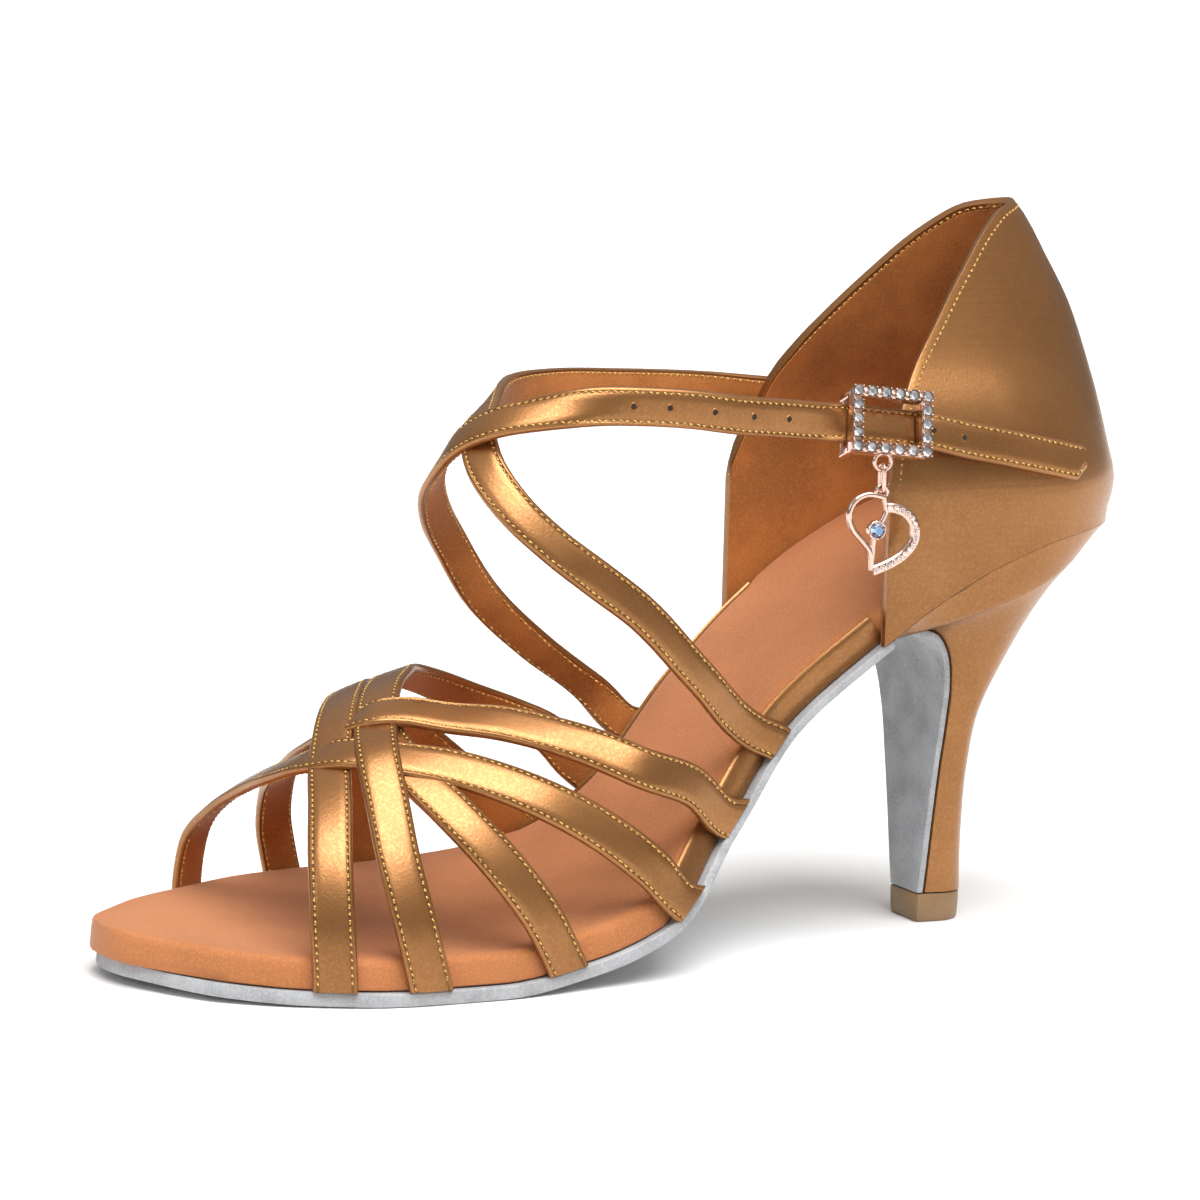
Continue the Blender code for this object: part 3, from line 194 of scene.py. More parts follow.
# Woven straps over the toes. Around runs from 0 at the insole's outer edge to 1 at
# its inner edge, and past either end down the insole's side, an insole's thickness
# for each 1. Lift counts weave steps, and sag is the share of the foot's height
# that an empty strap loses.
VAMP = (
    # outer 1 to inner 4: station, around, lift, sag
    ((0.152, -1.9, 0, 0), (0.151, -0.8, 0, 0), (0.149, 0.07, 0, 0), (0.156, 0.195, 0, 0),
     (0.168, 0.285, -0.6, 0), (0.181, 0.36, -1.0, 0), (0.195, 0.41, -0.5, 0.01),
     (0.212, 0.455, 0.5, 0.02), (0.240, 0.53, 0.5, 0.03), (0.285, 0.645, 0, 0.04),
     (0.330, 0.745, -0.2, 0.05), (0.375, 0.825, 0, 0.04), (0.406, 0.88, 0, 0.02),
     (0.435, 0.935, 0, 0), (0.459, 0.985, 0, 0), (0.468, 1.7, 0, 0), (0.474, 2.9, 0, 0)),
    # outer 2 to inner 5
    ((0.238, -1.9, 0, 0), (0.230, -0.8, 0, 0), (0.216, 0.06, 0, 0), (0.209, 0.155, -0.2, 0),
     (0.212, 0.25, 0, 0), (0.219, 0.325, 0.8, 0), (0.236, 0.405, -0.2, 0),
     (0.260, 0.475, -0.2, 0), (0.290, 0.545, -0.3, 0.02), (0.322, 0.625, -0.3, 0.03),
     (0.361, 0.69, 0, 0.05), (0.409, 0.76, 0, 0.05), (0.450, 0.825, 0, 0.03),
     (0.486, 0.90, 0, 0), (0.510, 0.975, 0, 0), (0.521, 1.7, 0, 0), (0.528, 2.9, 0, 0)),
    # outer 3 to inner 3
    ((0.364, -1.9, 0, 0), (0.356, -0.8, 0, 0), (0.334, 0.04, 0, 0), (0.298, 0.12, 0, 0),
     (0.264, 0.205, -0.4, 0), (0.243, 0.285, -1.0, 0), (0.236, 0.365, -1.2, 0),
     (0.240, 0.45, -1.2, 0.02), (0.260, 0.555, -1.0, 0.03), (0.288, 0.67, -0.6, 0.03),
     (0.307, 0.78, -0.2, 0.02), (0.320, 0.87, 0, 0), (0.330, 0.93, 0, 0), (0.342, 1.0, 0, 0),
     (0.349, 1.8, 0, 0), (0.353, 2.9, 0, 0)),
    # outer 4 to inner 1
    ((0.482, -1.9, 0, 0), (0.470, -0.9, 0, 0), (0.446, 0.045, 0, 0), (0.399, 0.12, 0, 0),
     (0.353, 0.175, 0, 0), (0.312, 0.225, -0.4, 0), (0.274, 0.267, -0.5, 0),
     (0.236, 0.312, -0.4, 0), (0.200, 0.36, 0.1, 0), (0.180, 0.405, 0.1, 0.05),
     (0.167, 0.485, -0.6, 0.14), (0.164, 0.59, -0.4, 0.24), (0.158, 0.71, 0, 0.30),
     (0.152, 0.87, 0, 0.22), (0.150, 0.98, 0, 0), (0.149, 1.7, 0, 0), (0.149, 2.9, 0, 0)),
    # outer 5 to inner 2
    ((0.541, -1.9, 0, 0), (0.529, -0.8, 0, 0), (0.498, 0.08, 0, 0), (0.447, 0.17, 0, 0),
     (0.411, 0.22, 0, 0), (0.370, 0.265, 0, 0), (0.332, 0.308, -0.4, 0),
     (0.293, 0.35, -0.6, 0), (0.257, 0.39, 0.5, 0), (0.236, 0.41, 0.8, 0),
     (0.221, 0.445, 0, 0.03), (0.213, 0.53, -0.6, 0.13), (0.221, 0.66, -0.4, 0.25),
     (0.238, 0.82, 0, 0.22), (0.248, 0.93, 0, 0.05), (0.257, 0.99, 0, 0),
     (0.263, 1.7, 0, 0), (0.266, 2.9, 0, 0)),
)

# The two long straps round the instep: shares of SHOE_LENGTH, BALL_WIDTH and
# COUNTER_TOP. Their ends on the insole and on the counter are worked out.
UNDER_ANCHOR = (0.576, 0.580)   # stations at the top and the bottom of the outer side
UNDER_STRAP = (
    # x, y, z
    (0.504, -0.345, 0.393), (0.441, -0.365, 0.481), (0.401, -0.360, 0.524),
    (0.364, -0.335, 0.566), (0.333, -0.285, 0.614), (0.320, -0.215, 0.658),
    (0.326, -0.130, 0.696), (0.356, 0.000, 0.722), (0.400, 0.130, 0.735),
    (0.470, 0.225, 0.736), (0.543, 0.275, 0.731), (0.620, 0.300, 0.725),
)
UNDER_END = ((0.690, 0.715), (0.730, 0.709))      # x and height on the counter's inner side
OVER_ANCHOR = (0.556, 0.561)    # stations at the top and the bottom of the inner side
OVER_STRAP = (
    # x, y, z
    (0.629, -0.298, 0.717), (0.588, -0.310, 0.723), (0.543, -0.322, 0.729),
    (0.496, -0.320, 0.738), (0.452, -0.305, 0.742), (0.408, -0.285, 0.742),
    (0.367, -0.245, 0.732), (0.330, -0.185, 0.716), (0.314, -0.105, 0.690),
    (0.312, -0.020, 0.655), (0.320, 0.075, 0.617), (0.337, 0.150, 0.578),
    (0.368, 0.235, 0.528), (0.412, 0.290, 0.448), (0.470, 0.310, 0.374),
    (0.525, 0.295, 0.313),
)
OVER_TAIL = ((0.900, 0.649), (0.888, 0.653), (0.848, 0.666), (0.806, 0.678), (0.768, 0.687),
             (0.739, 0.696))    # x and height on the counter's outer side
ANKLE = 0.46              # station of the middle of the ankle
TILT_HEIGHT = (0.50, 0.72)      # heights between which a long strap tips up
TILT_FRONT = (0.33, 0.44)       # stations between which it does in front
FRONT_TILT = 1.0          # upward share of the straps' way out in front
UNDER_TILT = 0.4          # and low on each of them
OVER_TILT = 0.9
BUCKLE_AT = (0.690, 0.7035)     # x and height of the buckle's middle
BUCKLE_BEFORE = (0.662, 0.7080)     # and of the strap just in front of it

# Charm, seen from outside: shares of HEART_SIZE from its pivot, x towards the heel
HEART_LOBE = ((0.05, -0.08), (-0.06, -0.05), (-0.20, -0.04), (-0.35, -0.12), (-0.42, -0.28),
              (-0.37, -0.46), (-0.24, -0.61), (-0.13, -0.75), (-0.10, -0.98))
HEART_STEM = ((0.04, -0.09), (0.07, -0.24), (0.02, -0.36), (-0.06, -0.48), (-0.09, -0.66),
              (-0.10, -0.90))
HEART_SIDE = ((0.06, -0.20), (0.18, -0.21), (0.34, -0.28), (0.45, -0.44), (0.45, -0.62),
              (0.32, -0.79), (0.10, -0.92), (-0.09, -0.99))
STONE_AT = (-0.06, -0.48)


class Line:
    """A smooth line through a table's columns, without overshoot."""

    def __init__(self, rows, x_scale=1.0, y_scale=1.0, y_base=0.0):
        self.x = [r[0] * x_scale for r in rows]
        self.y = [r[1] * y_scale + y_base for r in rows]
        step = [b - a for a, b in zip(self.x, self.x[1:])]
        rise = [(b - a) / h for a, b, h in zip(self.y, self.y[1:], step)]
        self.slope = [rise[0]]
        for k in range(1, len(rise)):
            if rise[k - 1] * rise[k] <= 0:
                self.slope.append(0.0)
            else:
                near = 2 * step[k] + step[k - 1]
                far = step[k] + 2 * step[k - 1]
                self.slope.append((near + far) / (near / rise[k - 1] + far / rise[k]))
        self.slope.append(rise[-1])

    def __call__(self, x):
        x = min(max(x, self.x[0]), self.x[-1])
        k = max(i for i in range(len(self.x) - 1) if self.x[i] <= x)
        h = self.x[k + 1] - self.x[k]
        t = (x - self.x[k]) / h
        rise = self.y[k] * (1 + 2 * t) * (1 - t) ** 2 + self.y[k + 1] * t * t * (3 - 2 * t)
        lean = self.slope[k] * t * (1 - t) ** 2 + self.slope[k + 1] * t * t * (t - 1)
        return rise + h * lean


def column(rows, index):
    return [(row[0], row[index]) for row in rows]


SOLE_TOP = SOLE_THICK + GAP
bed_top = Line(column(BED, 1), SHOE_LENGTH, HEEL_RISE, SOLE_TOP + INSOLE_THICK)
bed_outer = Line(column(BED, 2), SHOE_LENGTH, BALL_WIDTH)
bed_inner = Line(column(BED, 3), SHOE_LENGTH, BALL_WIDTH)
instep = Line(INSTEP, SHOE_LENGTH, INSTEP_HEIGHT)
counter_back = Line(column(COUNTER_BACK, 1), COUNTER_TOP, SHOE_LENGTH)
counter_lean = Line(column(COUNTER_BACK, 2), COUNTER_TOP)
edge_outer = Line([(r[0], r[2]) for r in COUNTER_EDGE], SHOE_LENGTH, COUNTER_TOP)
edge_inner = Line([(r[1], r[2]) for r in COUNTER_EDGE], SHOE_LENGTH, COUNTER_TOP)

OUTER = -1
INNER = 1
SEAT_MID_X = SEAT_MID * SHOE_LENGTH
SEAT_BACK_X = SEAT_BACK * SHOE_LENGTH


def ease(x, start, end):
    """From 0 at start to 1 at end, with soft ends."""
    t = min(max((x - start) / (end - start), 0.0), 1.0)
    return t * t * (3 - 2 * t)


def bed_slope(x):
    step = SHOE_LENGTH * 0.004
    return atan((bed_top(x + step) - bed_top(x - step)) / (2 * step))


def insole_half(x, side):
    """Half width of the insole, with its rand, on one side."""
    line = bed_outer if side == OUTER else bed_inner
    seat = SEAT_HALF - COUNTER_WALL - INSOLE_EASE
    change = seat / line(SEAT_MID_X) - 1
    half = line(x) * (1 + change * ease(x, SEAT_START * SHOE_LENGTH, SEAT_MID_X))
    if x <= SEAT_MID_X:
        return half
    reach = SEAT_BACK_X - COUNTER_WALL - INSOLE_EASE - SEAT_MID_X
    return seat * sqrt(max(0.0, 1 - ((x - SEAT_MID_X) / reach) ** 2))


def seat_half(x, side):
    """The counter's outer face at the seat, which the heel's top follows."""
    if x <= SEAT_MID_X:
        return insole_half(x, side) + INSOLE_EASE + COUNTER_WALL
    reach = SEAT_BACK_X - SEAT_MID_X
    return SEAT_HALF * sqrt(max(0.0, 1 - ((x - SEAT_MID_X) / reach) ** 2))


def bed_point(x, y, depth):
    """A point at a depth under the insole's top, square to its slope."""
    turn = bed_slope(x)
    return Vector((x + depth * sin(turn), y, bed_top(x) - depth * cos(turn)))


def under_insole(x, depth):
    """Height of the line at a depth under the insole's top, above a place x."""
    station = x
    for _ in range(8):
        station = x - depth * sin(bed_slope(station))
    return bed_top(station) - depth * cos(bed_slope(station))


def along_at(points, k):
    """From the point before to the point after, or from or to the end itself."""
    return points[min(k + 1, len(points) - 1)] - points[max(k - 1, 0)]


def axes_at(point, a, b, c):
    """A place with its three axes."""
    return Matrix.Translation(point) @ Matrix((a, b, c)).transposed().to_4x4()


def mirrored(points):
    """One side's points, given as distance out and depth, then the other side's."""
    return [(-y, d) for y, d in points] + [(y, d) for y, d in reversed(points)]


def seat_places(reach, stop, step):
    """Places round the back of the seat, an even turn apart."""
    return [SEAT_MID_X + reach * sin(radians(a)) for a in range(0, stop, step)]


def arch_station(k):
    start = RAND_START * SHOE_LENGTH
    return start + (SEAT_MID_X - start) * k / RAND_STEPS


def heel_front(row):
    return Vector((row[0] * SHOE_LENGTH, 0, SOLE_TOP + row[1] * HEEL_RISE))


def foot_front():
    return Vector((HEEL_FOOT[0] * SHOE_LENGTH, 0, TIP_HEIGHT + GAP))


def heel_front_line():
    """The heel's front, seat to tip, with each point's half width and way out."""
    points = [heel_front(row) for row in HEEL] + [foot_front()]
    halves = [row[2] * BALL_WIDTH for row in HEEL] + [HEEL_FOOT[1] * BALL_WIDTH]
    line = []
    for k, point in enumerate(points):
        along = along_at(points, k).normalized()
        line.append((point, halves[k], Vector((along.z, 0, -along.x))))
    return line


def heel_lip():
    """Where the heel's thin front lip starts under the insole."""
    last = max(arch_station(k) for k in range(RAND_STEPS)
               if arch_station(k) <= SHANK_END * SHOE_LENGTH)
    start = bed_point(last, 0, INSOLE_THICK + GAP)
    return start.x + (heel_front(HEEL[0]).x - start.x) * LIP


def counter_front(side):
    return COUNTER_EDGE[0][0 if side == OUTER else 1] * SHOE_LENGTH


def squeeze(z, side):
    """How much shorter the counter is at a height than at the seat."""
    front = counter_front(side)
    return (counter_back(z) - front) / (SEAT_BACK_X - front)


def counter_place(seat_x, z, side):
    """A point of the counter's outer face over a place on the seat."""
    front = counter_front(side)
    x = front + (seat_x - front) * squeeze(z, side)
    return Vector((x, side * seat_half(seat_x, side) * counter_lean(z), z))


def counter_bottom(seat_x, side):
    z = under_insole(seat_x, INSOLE_THICK)
    for _ in range(6):
        z = under_insole(counter_place(seat_x, z, side).x, INSOLE_THICK)
    return z


def counter_height(seat_x, side):
    """Height of the top edge over a place on the seat."""
    line = edge_outer if side == OUTER else edge_inner
    low = counter_bottom(seat_x, side)
    high = COUNTER_TOP
    for _ in range(30):
        middle = (low + high) / 2
        if middle < line(counter_place(seat_x, middle, side).x):
            low = middle
        else:
            high = middle
    return low


def counter_face(place, side, off):
    """A point off the counter's outer face and its normal, by shares of length and height."""
    def out(x, z):
        front = counter_front(side)
        return seat_half(front + (x - front) / squeeze(z, side), side) * counter_lean(z)

    x = place[0] * SHOE_LENGTH
    z = place[1] * COUNTER_TOP
    step = 0.0005
    along = (out(x + step, z) - out(x - step, z)) / (2 * step)
    rise = (out(x, z + step) - out(x, z - step)) / (2 * step)
    normal = Vector((-along, side, -rise)).normalized()
    return Vector((x, side * out(x, z), z)) + normal * off, normal


def smooth_rows(rows, steps):
    """Rows of numbers with smooth in-between rows; the first three are places."""
    gaps = [(Vector(b[:3]) - Vector(a[:3])).length for a, b in zip(rows, rows[1:])]
    rates = [[(q - p) / gap for p, q in zip(a, b)] for a, b, gap in zip(rows, rows[1:], gaps)]
    slopes = [rates[0]]
    for k in range(1, len(rates)):
        share = gaps[k] / (gaps[k - 1] + gaps[k])
        slopes.append([p * share + q * (1 - share) for p, q in zip(rates[k - 1], rates[k])])
    slopes.append(rates[-1])
    made = []
    for k, gap in enumerate(gaps):
        for j in range(steps):
            t = j / steps
            made.append([a * (1 + 2 * t) * (1 - t) ** 2 + b * t * t * (3 - 2 * t)
                         + gap * (m * t * (1 - t) ** 2 + n * t * t * (t - 1))
                         for a, b, m, n in zip(rows[k], rows[k + 1], slopes[k], slopes[k + 1])])
    made.append(list(rows[-1]))
    return made


def outline_normal(x, side):
    """Outwards from the insole's outline, level."""
    step = SHOE_LENGTH * 0.01
    flare = (insole_half(x + step, side) - insole_half(x - step, side)) / (2 * step)
    return Vector((-flare, side, 0)).normalized()


def strap_reach(x, side):
    """From the middle line to a strap's middle layer where it passes the insole's edge."""
    off = GAP * 1.3 + STRAP_THICK / 2
    step = STRAP_WIDTH * 0.6
    ends = (insole_half(x - step, side) + insole_half(x + step, side)) / 2
    hollow = max(0.0, ends - insole_half(x, side))
    return insole_half(x, side) + hollow + off / abs(outline_normal(x, side).y)


def foot_point(x, around, sag=0.0):
    """A point of the straps' middle layer on the foot's form."""
    outer = strap_reach(x, OUTER)
    inner = strap_reach(x, INNER)
    turn = pi * min(max(around, 0.0), 1.0)
    y = (inner - outer) / 2 - (inner + outer) / 2 * cos(turn)
    depth = max(-around, around - 1.0, 0.0) * INSOLE_THICK
    point = bed_point(x, y, depth)
    point.z += instep(x) * sin(turn) * (1 - sag)
    return point


def foot_normal(x, around):
    step = 0.01
    middle = min(max(around, step), 1 - step)
    along = foot_point(x + 0.001, middle) - foot_point(x - 0.001, middle)
    across = foot_point(x, middle + step) - foot_point(x, middle - step)
    normal = along.cross(across).normalized()
    edge = ease(max(-around, around - 1.0), -0.05, 0.2)
    side = OUTER if around < 0.5 else INNER
    return normal.lerp(outline_normal(x, side), edge).normalized()


def strap_path(pairs, steps):
    """Points and normals along a strap, with smooth ones in between."""
    rows = smooth_rows([list(point) + list(normal) for point, normal in pairs], steps)
    return [(Vector(row[:3]), Vector(row[3:]).normalized()) for row in rows]


def free_normal(point, low_tilt):
    """Outwards from the ankle, and upwards where the strap lies over the instep."""
    pull = min(0.0, point.x - ANKLE * SHOE_LENGTH) * 0.9
    high = ease(point.z, TILT_HEIGHT[0] * COUNTER_TOP, TILT_HEIGHT[1] * COUNTER_TOP)
    behind = ease(point.x, TILT_FRONT[0] * SHOE_LENGTH, TILT_FRONT[1] * SHOE_LENGTH)
    level = Vector((pull, point.y, 0)).normalized()
    tilt = max((1 - high) * low_tilt, (1 - behind) * FRONT_TILT)
    return (level + Vector((0, 0, tilt))).normalized()


def shares(rows):
    return [Vector((x * SHOE_LENGTH, y * BALL_WIDTH, z * COUNTER_TOP)) for x, y, z in rows]


def anchor_pairs(stations, side):
    """A strap's way from the insole's underside up over its edge."""
    top, bottom = (station * SHOE_LENGTH for station in stations)
    around = 0.0 if side == OUTER else 1.0
    low = outline_normal(bottom, side)
    return [(foot_point(bottom, around + side * 1.9), low),
            (foot_point(bottom, around + side * 0.9), low),
            (foot_point(top, around + side * 0.05), outline_normal(top, side))]


def over_layer():
    """From the counter's face to the strap's middle, over the buckle's tab."""
    return 2 * GAP + TAB_THICK + GAP + STRAP_THICK / 2


def tail_pairs():
    pairs = []
    low = GAP + STRAP_THICK / 2
    start = OVER_TAIL[2][0]
    for place in OVER_TAIL + (BUCKLE_AT, BUCKLE_BEFORE):
        rise = ease(start - place[0], 0.0, start - OVER_TAIL[-1][0])
        pairs.append(counter_face(place, OUTER, low + (over_layer() - low) * rise))
    return pairs


def buckle_frame():
    """The buckle's own axes at its middle: along the strap, outwards and up it."""
    point, out = counter_face(BUCKLE_AT, OUTER, over_layer())
    ahead = tail_pairs()[-1][0]
    behind = tail_pairs()[-3][0]
    along = (behind - ahead).normalized()
    up = along.cross(-out).normalized()
    if up.z < 0:
        up = -up
    along = (along - out * along.dot(out)).normalized()
    return axes_at(point, along, out, up)


def upright_frame(place):
    """The same place, but hanging plumb."""
    out = place.to_3x3() @ Vector((0, 1, 0))
    out = Vector((out.x, out.y, 0)).normalized()
    up = Vector((0, 0, 1))
    along = Vector((-out.y, out.x, 0))
    eye = place @ Vector((EYE_ALONG, BUCKLE_BACK + BUCKLE_DEEP / 2,
                          -BUCKLE_HIGH / 2 - EYE_RADIUS + WIRE))
    return axes_at(eye, along, out, up)


def frame_shift():
    """From the shoe's own frame, whose origin is the toe tip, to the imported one."""
    low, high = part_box("heel_tip")
    front = HEEL_FOOT[0] * SHOE_LENGTH - GAP - FLAP_THICK
    return Vector((low.x - front, (low.y + high.y) / 2, low.z))


SHIFT = frame_shift()
SMOOTH_ANGLE = radians(38)
MERGE = 0.000001

FACE_HIGH = 1.08          # middle of the strap's face, in half thicknesses
# Strap's face, from its edge to its middle: inset in metres, height in half thicknesses
TOP_FACE = ((0.0, 0.0), (0.0001, 0.5), (0.0003, 0.84), (0.0006, 0.96), (0.0008, 0.84),
            (0.00095, 0.76), (0.0011, 0.84), (0.0015, 1.0), (0.0024, FACE_HIGH))
UNDER_FACE = ((0.0001, -0.5), (0.0003, -0.84), (0.0007, -0.97), (0.0022, -0.97))
LINING_FACE = ((0.0007, -0.98), (0.00078, -1.12), (0.0010, -1.2))
SEW_INSET = 0.00095       # of a stitch row from a strap's edge
TOP_SEW = 0.84            # height of the top's stitches, in half thicknesses
UNDER_SEW = -1.1          # and of the underside's
FINE_STEPS = 6            # sections between two rows of a strap's table
HOLES = (0.0293, 0.0359, 0.0660, 0.0738, 0.0819, 0.0907, 0.0976)   # from the tail's tip
HOLE_RADIUS = 0.00052
HOLE_RIM = 0.00016        # half width of the pressed rim
HOLE_RIM_HIGH = 0.0001
# thickness of the dark disc that is painted shade in each hole
HOLE_SHADE_THICK = 0.0001
HOLE_LIFT = 0.00001       # of a hole over the strap's face
TAIL_TAPER = 0.0025
CUT_REACH = 0.018         # length of a strap's end that its cut may reach


# Meshes

def sweep(bm, rings, closed=False, values=None):
    """Extrude the first ring through all the others; values tag each point along, across."""
    count = len(rings[0])
    if values:
        layers = [bm.verts.layers.float.new(key) for key in ("along", "across")]
    loop = [bm.verts.new(p) for p in rings[0]]
    edges = [bm.edges.new((loop[i], loop[(i + 1) % count])) for i in range(count)]
    rows = [loop]
    for ring in rings[1:] + (rings[:1] if closed else []):
        made = bmesh.ops.extrude_edge_only(bm, edges=edges)["geom"]
        new = {g for g in made if isinstance(g, bmesh.types.BMVert)}
        ahead = []
        for vert, point in zip(loop, ring):
            twin = next(e.other_vert(vert) for e in vert.link_edges if e.other_vert(vert) in new)
            twin.co = point
            ahead.append(twin)
        loop = ahead
        edges = [bm.edges.get((loop[i], loop[(i + 1) % count])) for i in range(count)]
        rows.append(loop)
    if values:
        for row, value in zip(rows, values):
            for vert, pair in zip(row, value):
                vert[layers[0]], vert[layers[1]] = pair
    if closed:
        bmesh.ops.remove_doubles(bm, verts=rows[0] + rows[-1], dist=MERGE)


def close_ends(bm):
    bmesh.ops.holes_fill(bm, edges=[e for e in bm.edges if e.is_boundary], sides=0)


def dense(rings, steps):
    """The same rings with smooth ones in between."""
    count = len(rings[0])
    rows = smooth_rows([[c for p in ring for c in p] for ring in rings], steps)
    return [[Vector(row[3 * k:3 * k + 3]) for k in range(count)] for row in rows]


def mesh_of(bm, name):
    mesh = bpy.data.meshes.new(name)
    bm.to_mesh(mesh)
    bm.free()
    return mesh


def add_object(name, data):
    obj = bpy.data.objects.new(name, data)
    bpy.context.scene.collection.objects.link(obj)
    return obj


def finish_piece(bm, name, finish, slot, covers=False, body="shoe", smooth=SMOOTH_ANGLE):
    """The piece of a mesh; one that covers takes the place of its slot's solid."""
    bmesh.ops.recalc_face_normals(bm, faces=bm.faces)
    bmesh.ops.translate(bm, vec=SHIFT, verts=bm.verts)
    mesh = mesh_of(bm, name)
    mesh.shade_smooth()
    mesh.set_sharp_from_angle(angle=smooth)
    mesh.materials.append(material(finish))
    obj = add_object(name, mesh)
    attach(obj, body)
    if covers:
        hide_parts(slot)


def swept_piece(name, rings, finish, slot, covers=True):
    """A solid through rings, closed at both ends."""
    bm = bmesh.new()
    sweep(bm, rings)
    close_ends(bm)
    finish_piece(bm, name, finish, slot, covers)


def both_sides(points_of):
    """A ring from the outer side's points and the inner side's back again."""
    return points_of(OUTER) + points_of(INNER)[::-1]


# Stitches

THREAD_HIGH = 0.42        # a stitch's half height, as a share of the thread
SEW_STEP = 0.0006         # between the points of a strap's stitch line
SEW_END = 0.0004          # of a strap before its cut that has no stitch
TAIL_PLAIN = 0.001        # and of the tail's tip
LEAST_STEP = 0.0002       # between the points of the counter's stitch lines
THREAD_LIFT = 0.00004     # of the counter's stitches over its face


def thread_shape():
    """The mesh that every stitch is copied from, a ball with few faces."""
    mesh = bpy.data.meshes.get("one_stitch")
    if mesh is None:
        bm = bmesh.new()
        bmesh.ops.create_uvsphere(bm, u_segments=6, v_segments=4, radius=1.0)
        mesh = mesh_of(bm, "one_stitch")
    return mesh


def stitch(bm, start, end, normal, wide, high):
    """One stitch of thread from start to end."""
    along = end - start
    side = along.cross(normal).normalized()
    up = side.cross(along).normalized()
    one = thread_shape().copy()
    one.transform(axes_at((start + end) / 2, side * wide, up * high, along / 2))
    bm.from_mesh(one)
    bpy.data.meshes.remove(one)


class Course:
    """A line of (point, along, side, face) frames that can be read at any distance."""

    def __init__(self, path):
        self.at = [0.0]
        self.frames = []
        points = [point for point, _ in path]
        for k, (point, normal) in enumerate(path):
            along = along_at(points, k).normalized()
            side = along.cross(normal).normalized()
            self.frames.append((point, along, side, side.cross(along)))
            if k:
                self.at.append(self.at[-1] + (point - points[k - 1]).length)
        self.length = self.at[-1]
        self.last = 0

    def __call__(self, distance):
        k = self.last
        while k > 0 and self.at[k] > distance:
            k -= 1
        while k < len(self.at) - 2 and self.at[k + 1] < distance:
            k += 1
        self.last = k
        t = (distance - self.at[k]) / (self.at[k + 1] - self.at[k])
        return tuple(a.lerp(b, t) for a, b in zip(self.frames[k], self.frames[k + 1]))


def sew_line(bm, points, normals, sizes):
    """Stitches along a line of points, a pitch apart."""
    course = Course(list(zip(points, normals)))
    count = max(1, int(course.length / sizes.stitch_pitch))
    for k in range(count):
        middle = (k + 0.5) * course.length / count
        a = course(middle - sizes.stitch_length / 2)
        b = course(middle + sizes.stitch_length / 2)
        stitch(bm, a[0], b[0], a[3], sizes.thread / 2, sizes.thread * THREAD_HIGH)


# Straps

def strap_widths(at, half, tail):
    """Half widths to the left and right at a distance; a tail narrows to its tip."""
    if not tail:
        return half, half
    t = min(1.0, at / TAIL_TAPER)
    return half * (0.25 + 0.75 * t), half * (0.9 + 0.1 * min(1.0, t * 3))


def strap_rings(course, half, tail, outline):
    """Rings of a strap's section, with each point's distance along and across."""
    rings = []
    values = []
    for at, (point, _, side, face) in zip(course.at, course.frames):
        low, high = strap_widths(at, half, tail)
        ring = []
        for sign, inset, height in outline:
            width = low if sign < 0 else high
            y = sign * (width - min(inset, width * 0.98))
            ring.append(point + side * y + face * height * STRAP_THICK / 2)
        rings.append(ring)
        values.append([(at, inset) for _, inset, _ in outline])
    return rings, values


def across_face(points, first=-1):
    """A face's points as (side, inset, height), from one edge across to the other."""
    return ([(first, i, h) for i, h in points] + [(-first, i, h) for i, h in reversed(points)])


STRAP_OUTLINE = across_face(TOP_FACE) + across_face(UNDER_FACE, first=1)
LINING_OUTLINE = across_face(LINING_FACE)


class EndCut:
    """The plane of the insole's underside, which ends a strap at its start or its far end."""

    def __init__(self, station, at_start):
        x = station * SHOE_LENGTH
        turn = bed_slope(x)
        self.place = bed_point(x, 0, INSOLE_THICK)
        self.normal = Vector((sin(turn), 0, -cos(turn)))
        self.at_start = at_start

    def near(self, at, length):
        return at < CUT_REACH if self.at_start else at > length - CUT_REACH

    def removes(self, point, at, length):
        return self.near(at, length) and (point - self.place).dot(self.normal) > -SEW_END

    def cut(self, bm, length):
        along = bm.verts.layers.float["along"]
        verts = [v for v in bm.verts if self.near(v[along], length)]
        edges = [e for e in bm.edges if all(self.near(v[along], length) for v in e.verts)]
        faces = [f for f in bm.faces if all(self.near(v[along], length) for v in f.verts)]
        bmesh.ops.bisect_plane(bm, geom=verts + edges + faces, dist=MERGE,
                               plane_co=self.place, plane_no=self.normal, clear_outer=True)


def strap_seam(course, half, tail, cuts, sign, height):
    """A stitch line along one edge of one face of a strap."""
    points = []
    normals = []
    steps = int(course.length / SEW_STEP)
    for k in range(steps + 1):
        at = course.length * k / steps
        point, _, side, face = course(at)
        if any(cut.removes(point, at, course.length) for cut in cuts):
            continue
        if tail and at < TAIL_PLAIN:
            continue
        low, high = strap_widths(at, half, tail)
        reach = (low if sign < 0 else high) - SEW_INSET
        points.append(point + side * sign * reach + face * height * STRAP_THICK / 2)
        normals.append(face if height > 0 else -face)
    return points, normals


def build_strap(shoe, name, pairs, width, slot, cuts, tail=False):
    """A strap, its lining and its four rows of stitches."""
    course = Course(strap_path(pairs, FINE_STEPS))
    half = width / 2
    for part, outline, finish in (("", STRAP_OUTLINE, "gold_strap"),
                                  ("_lining", LINING_OUTLINE, "lining_suede")):
        bm = bmesh.new()
        rings, values = strap_rings(course, half, tail, outline)
        sweep(bm, rings, values=values)
        for cut in cuts:
            cut.cut(bm, course.length)
        close_ends(bm)
        finish_piece(bm, name + part, finish, slot, covers=not part)
    bm = bmesh.new()
    for sign in (-1, 1):
        for height in (TOP_SEW, UNDER_SEW):
            points, normals = strap_seam(course, half, tail, cuts, sign, height)
            sew_line(bm, points, normals, shoe)
    finish_piece(bm, name + "_stitches", "thread", slot, smooth=pi)
    return course


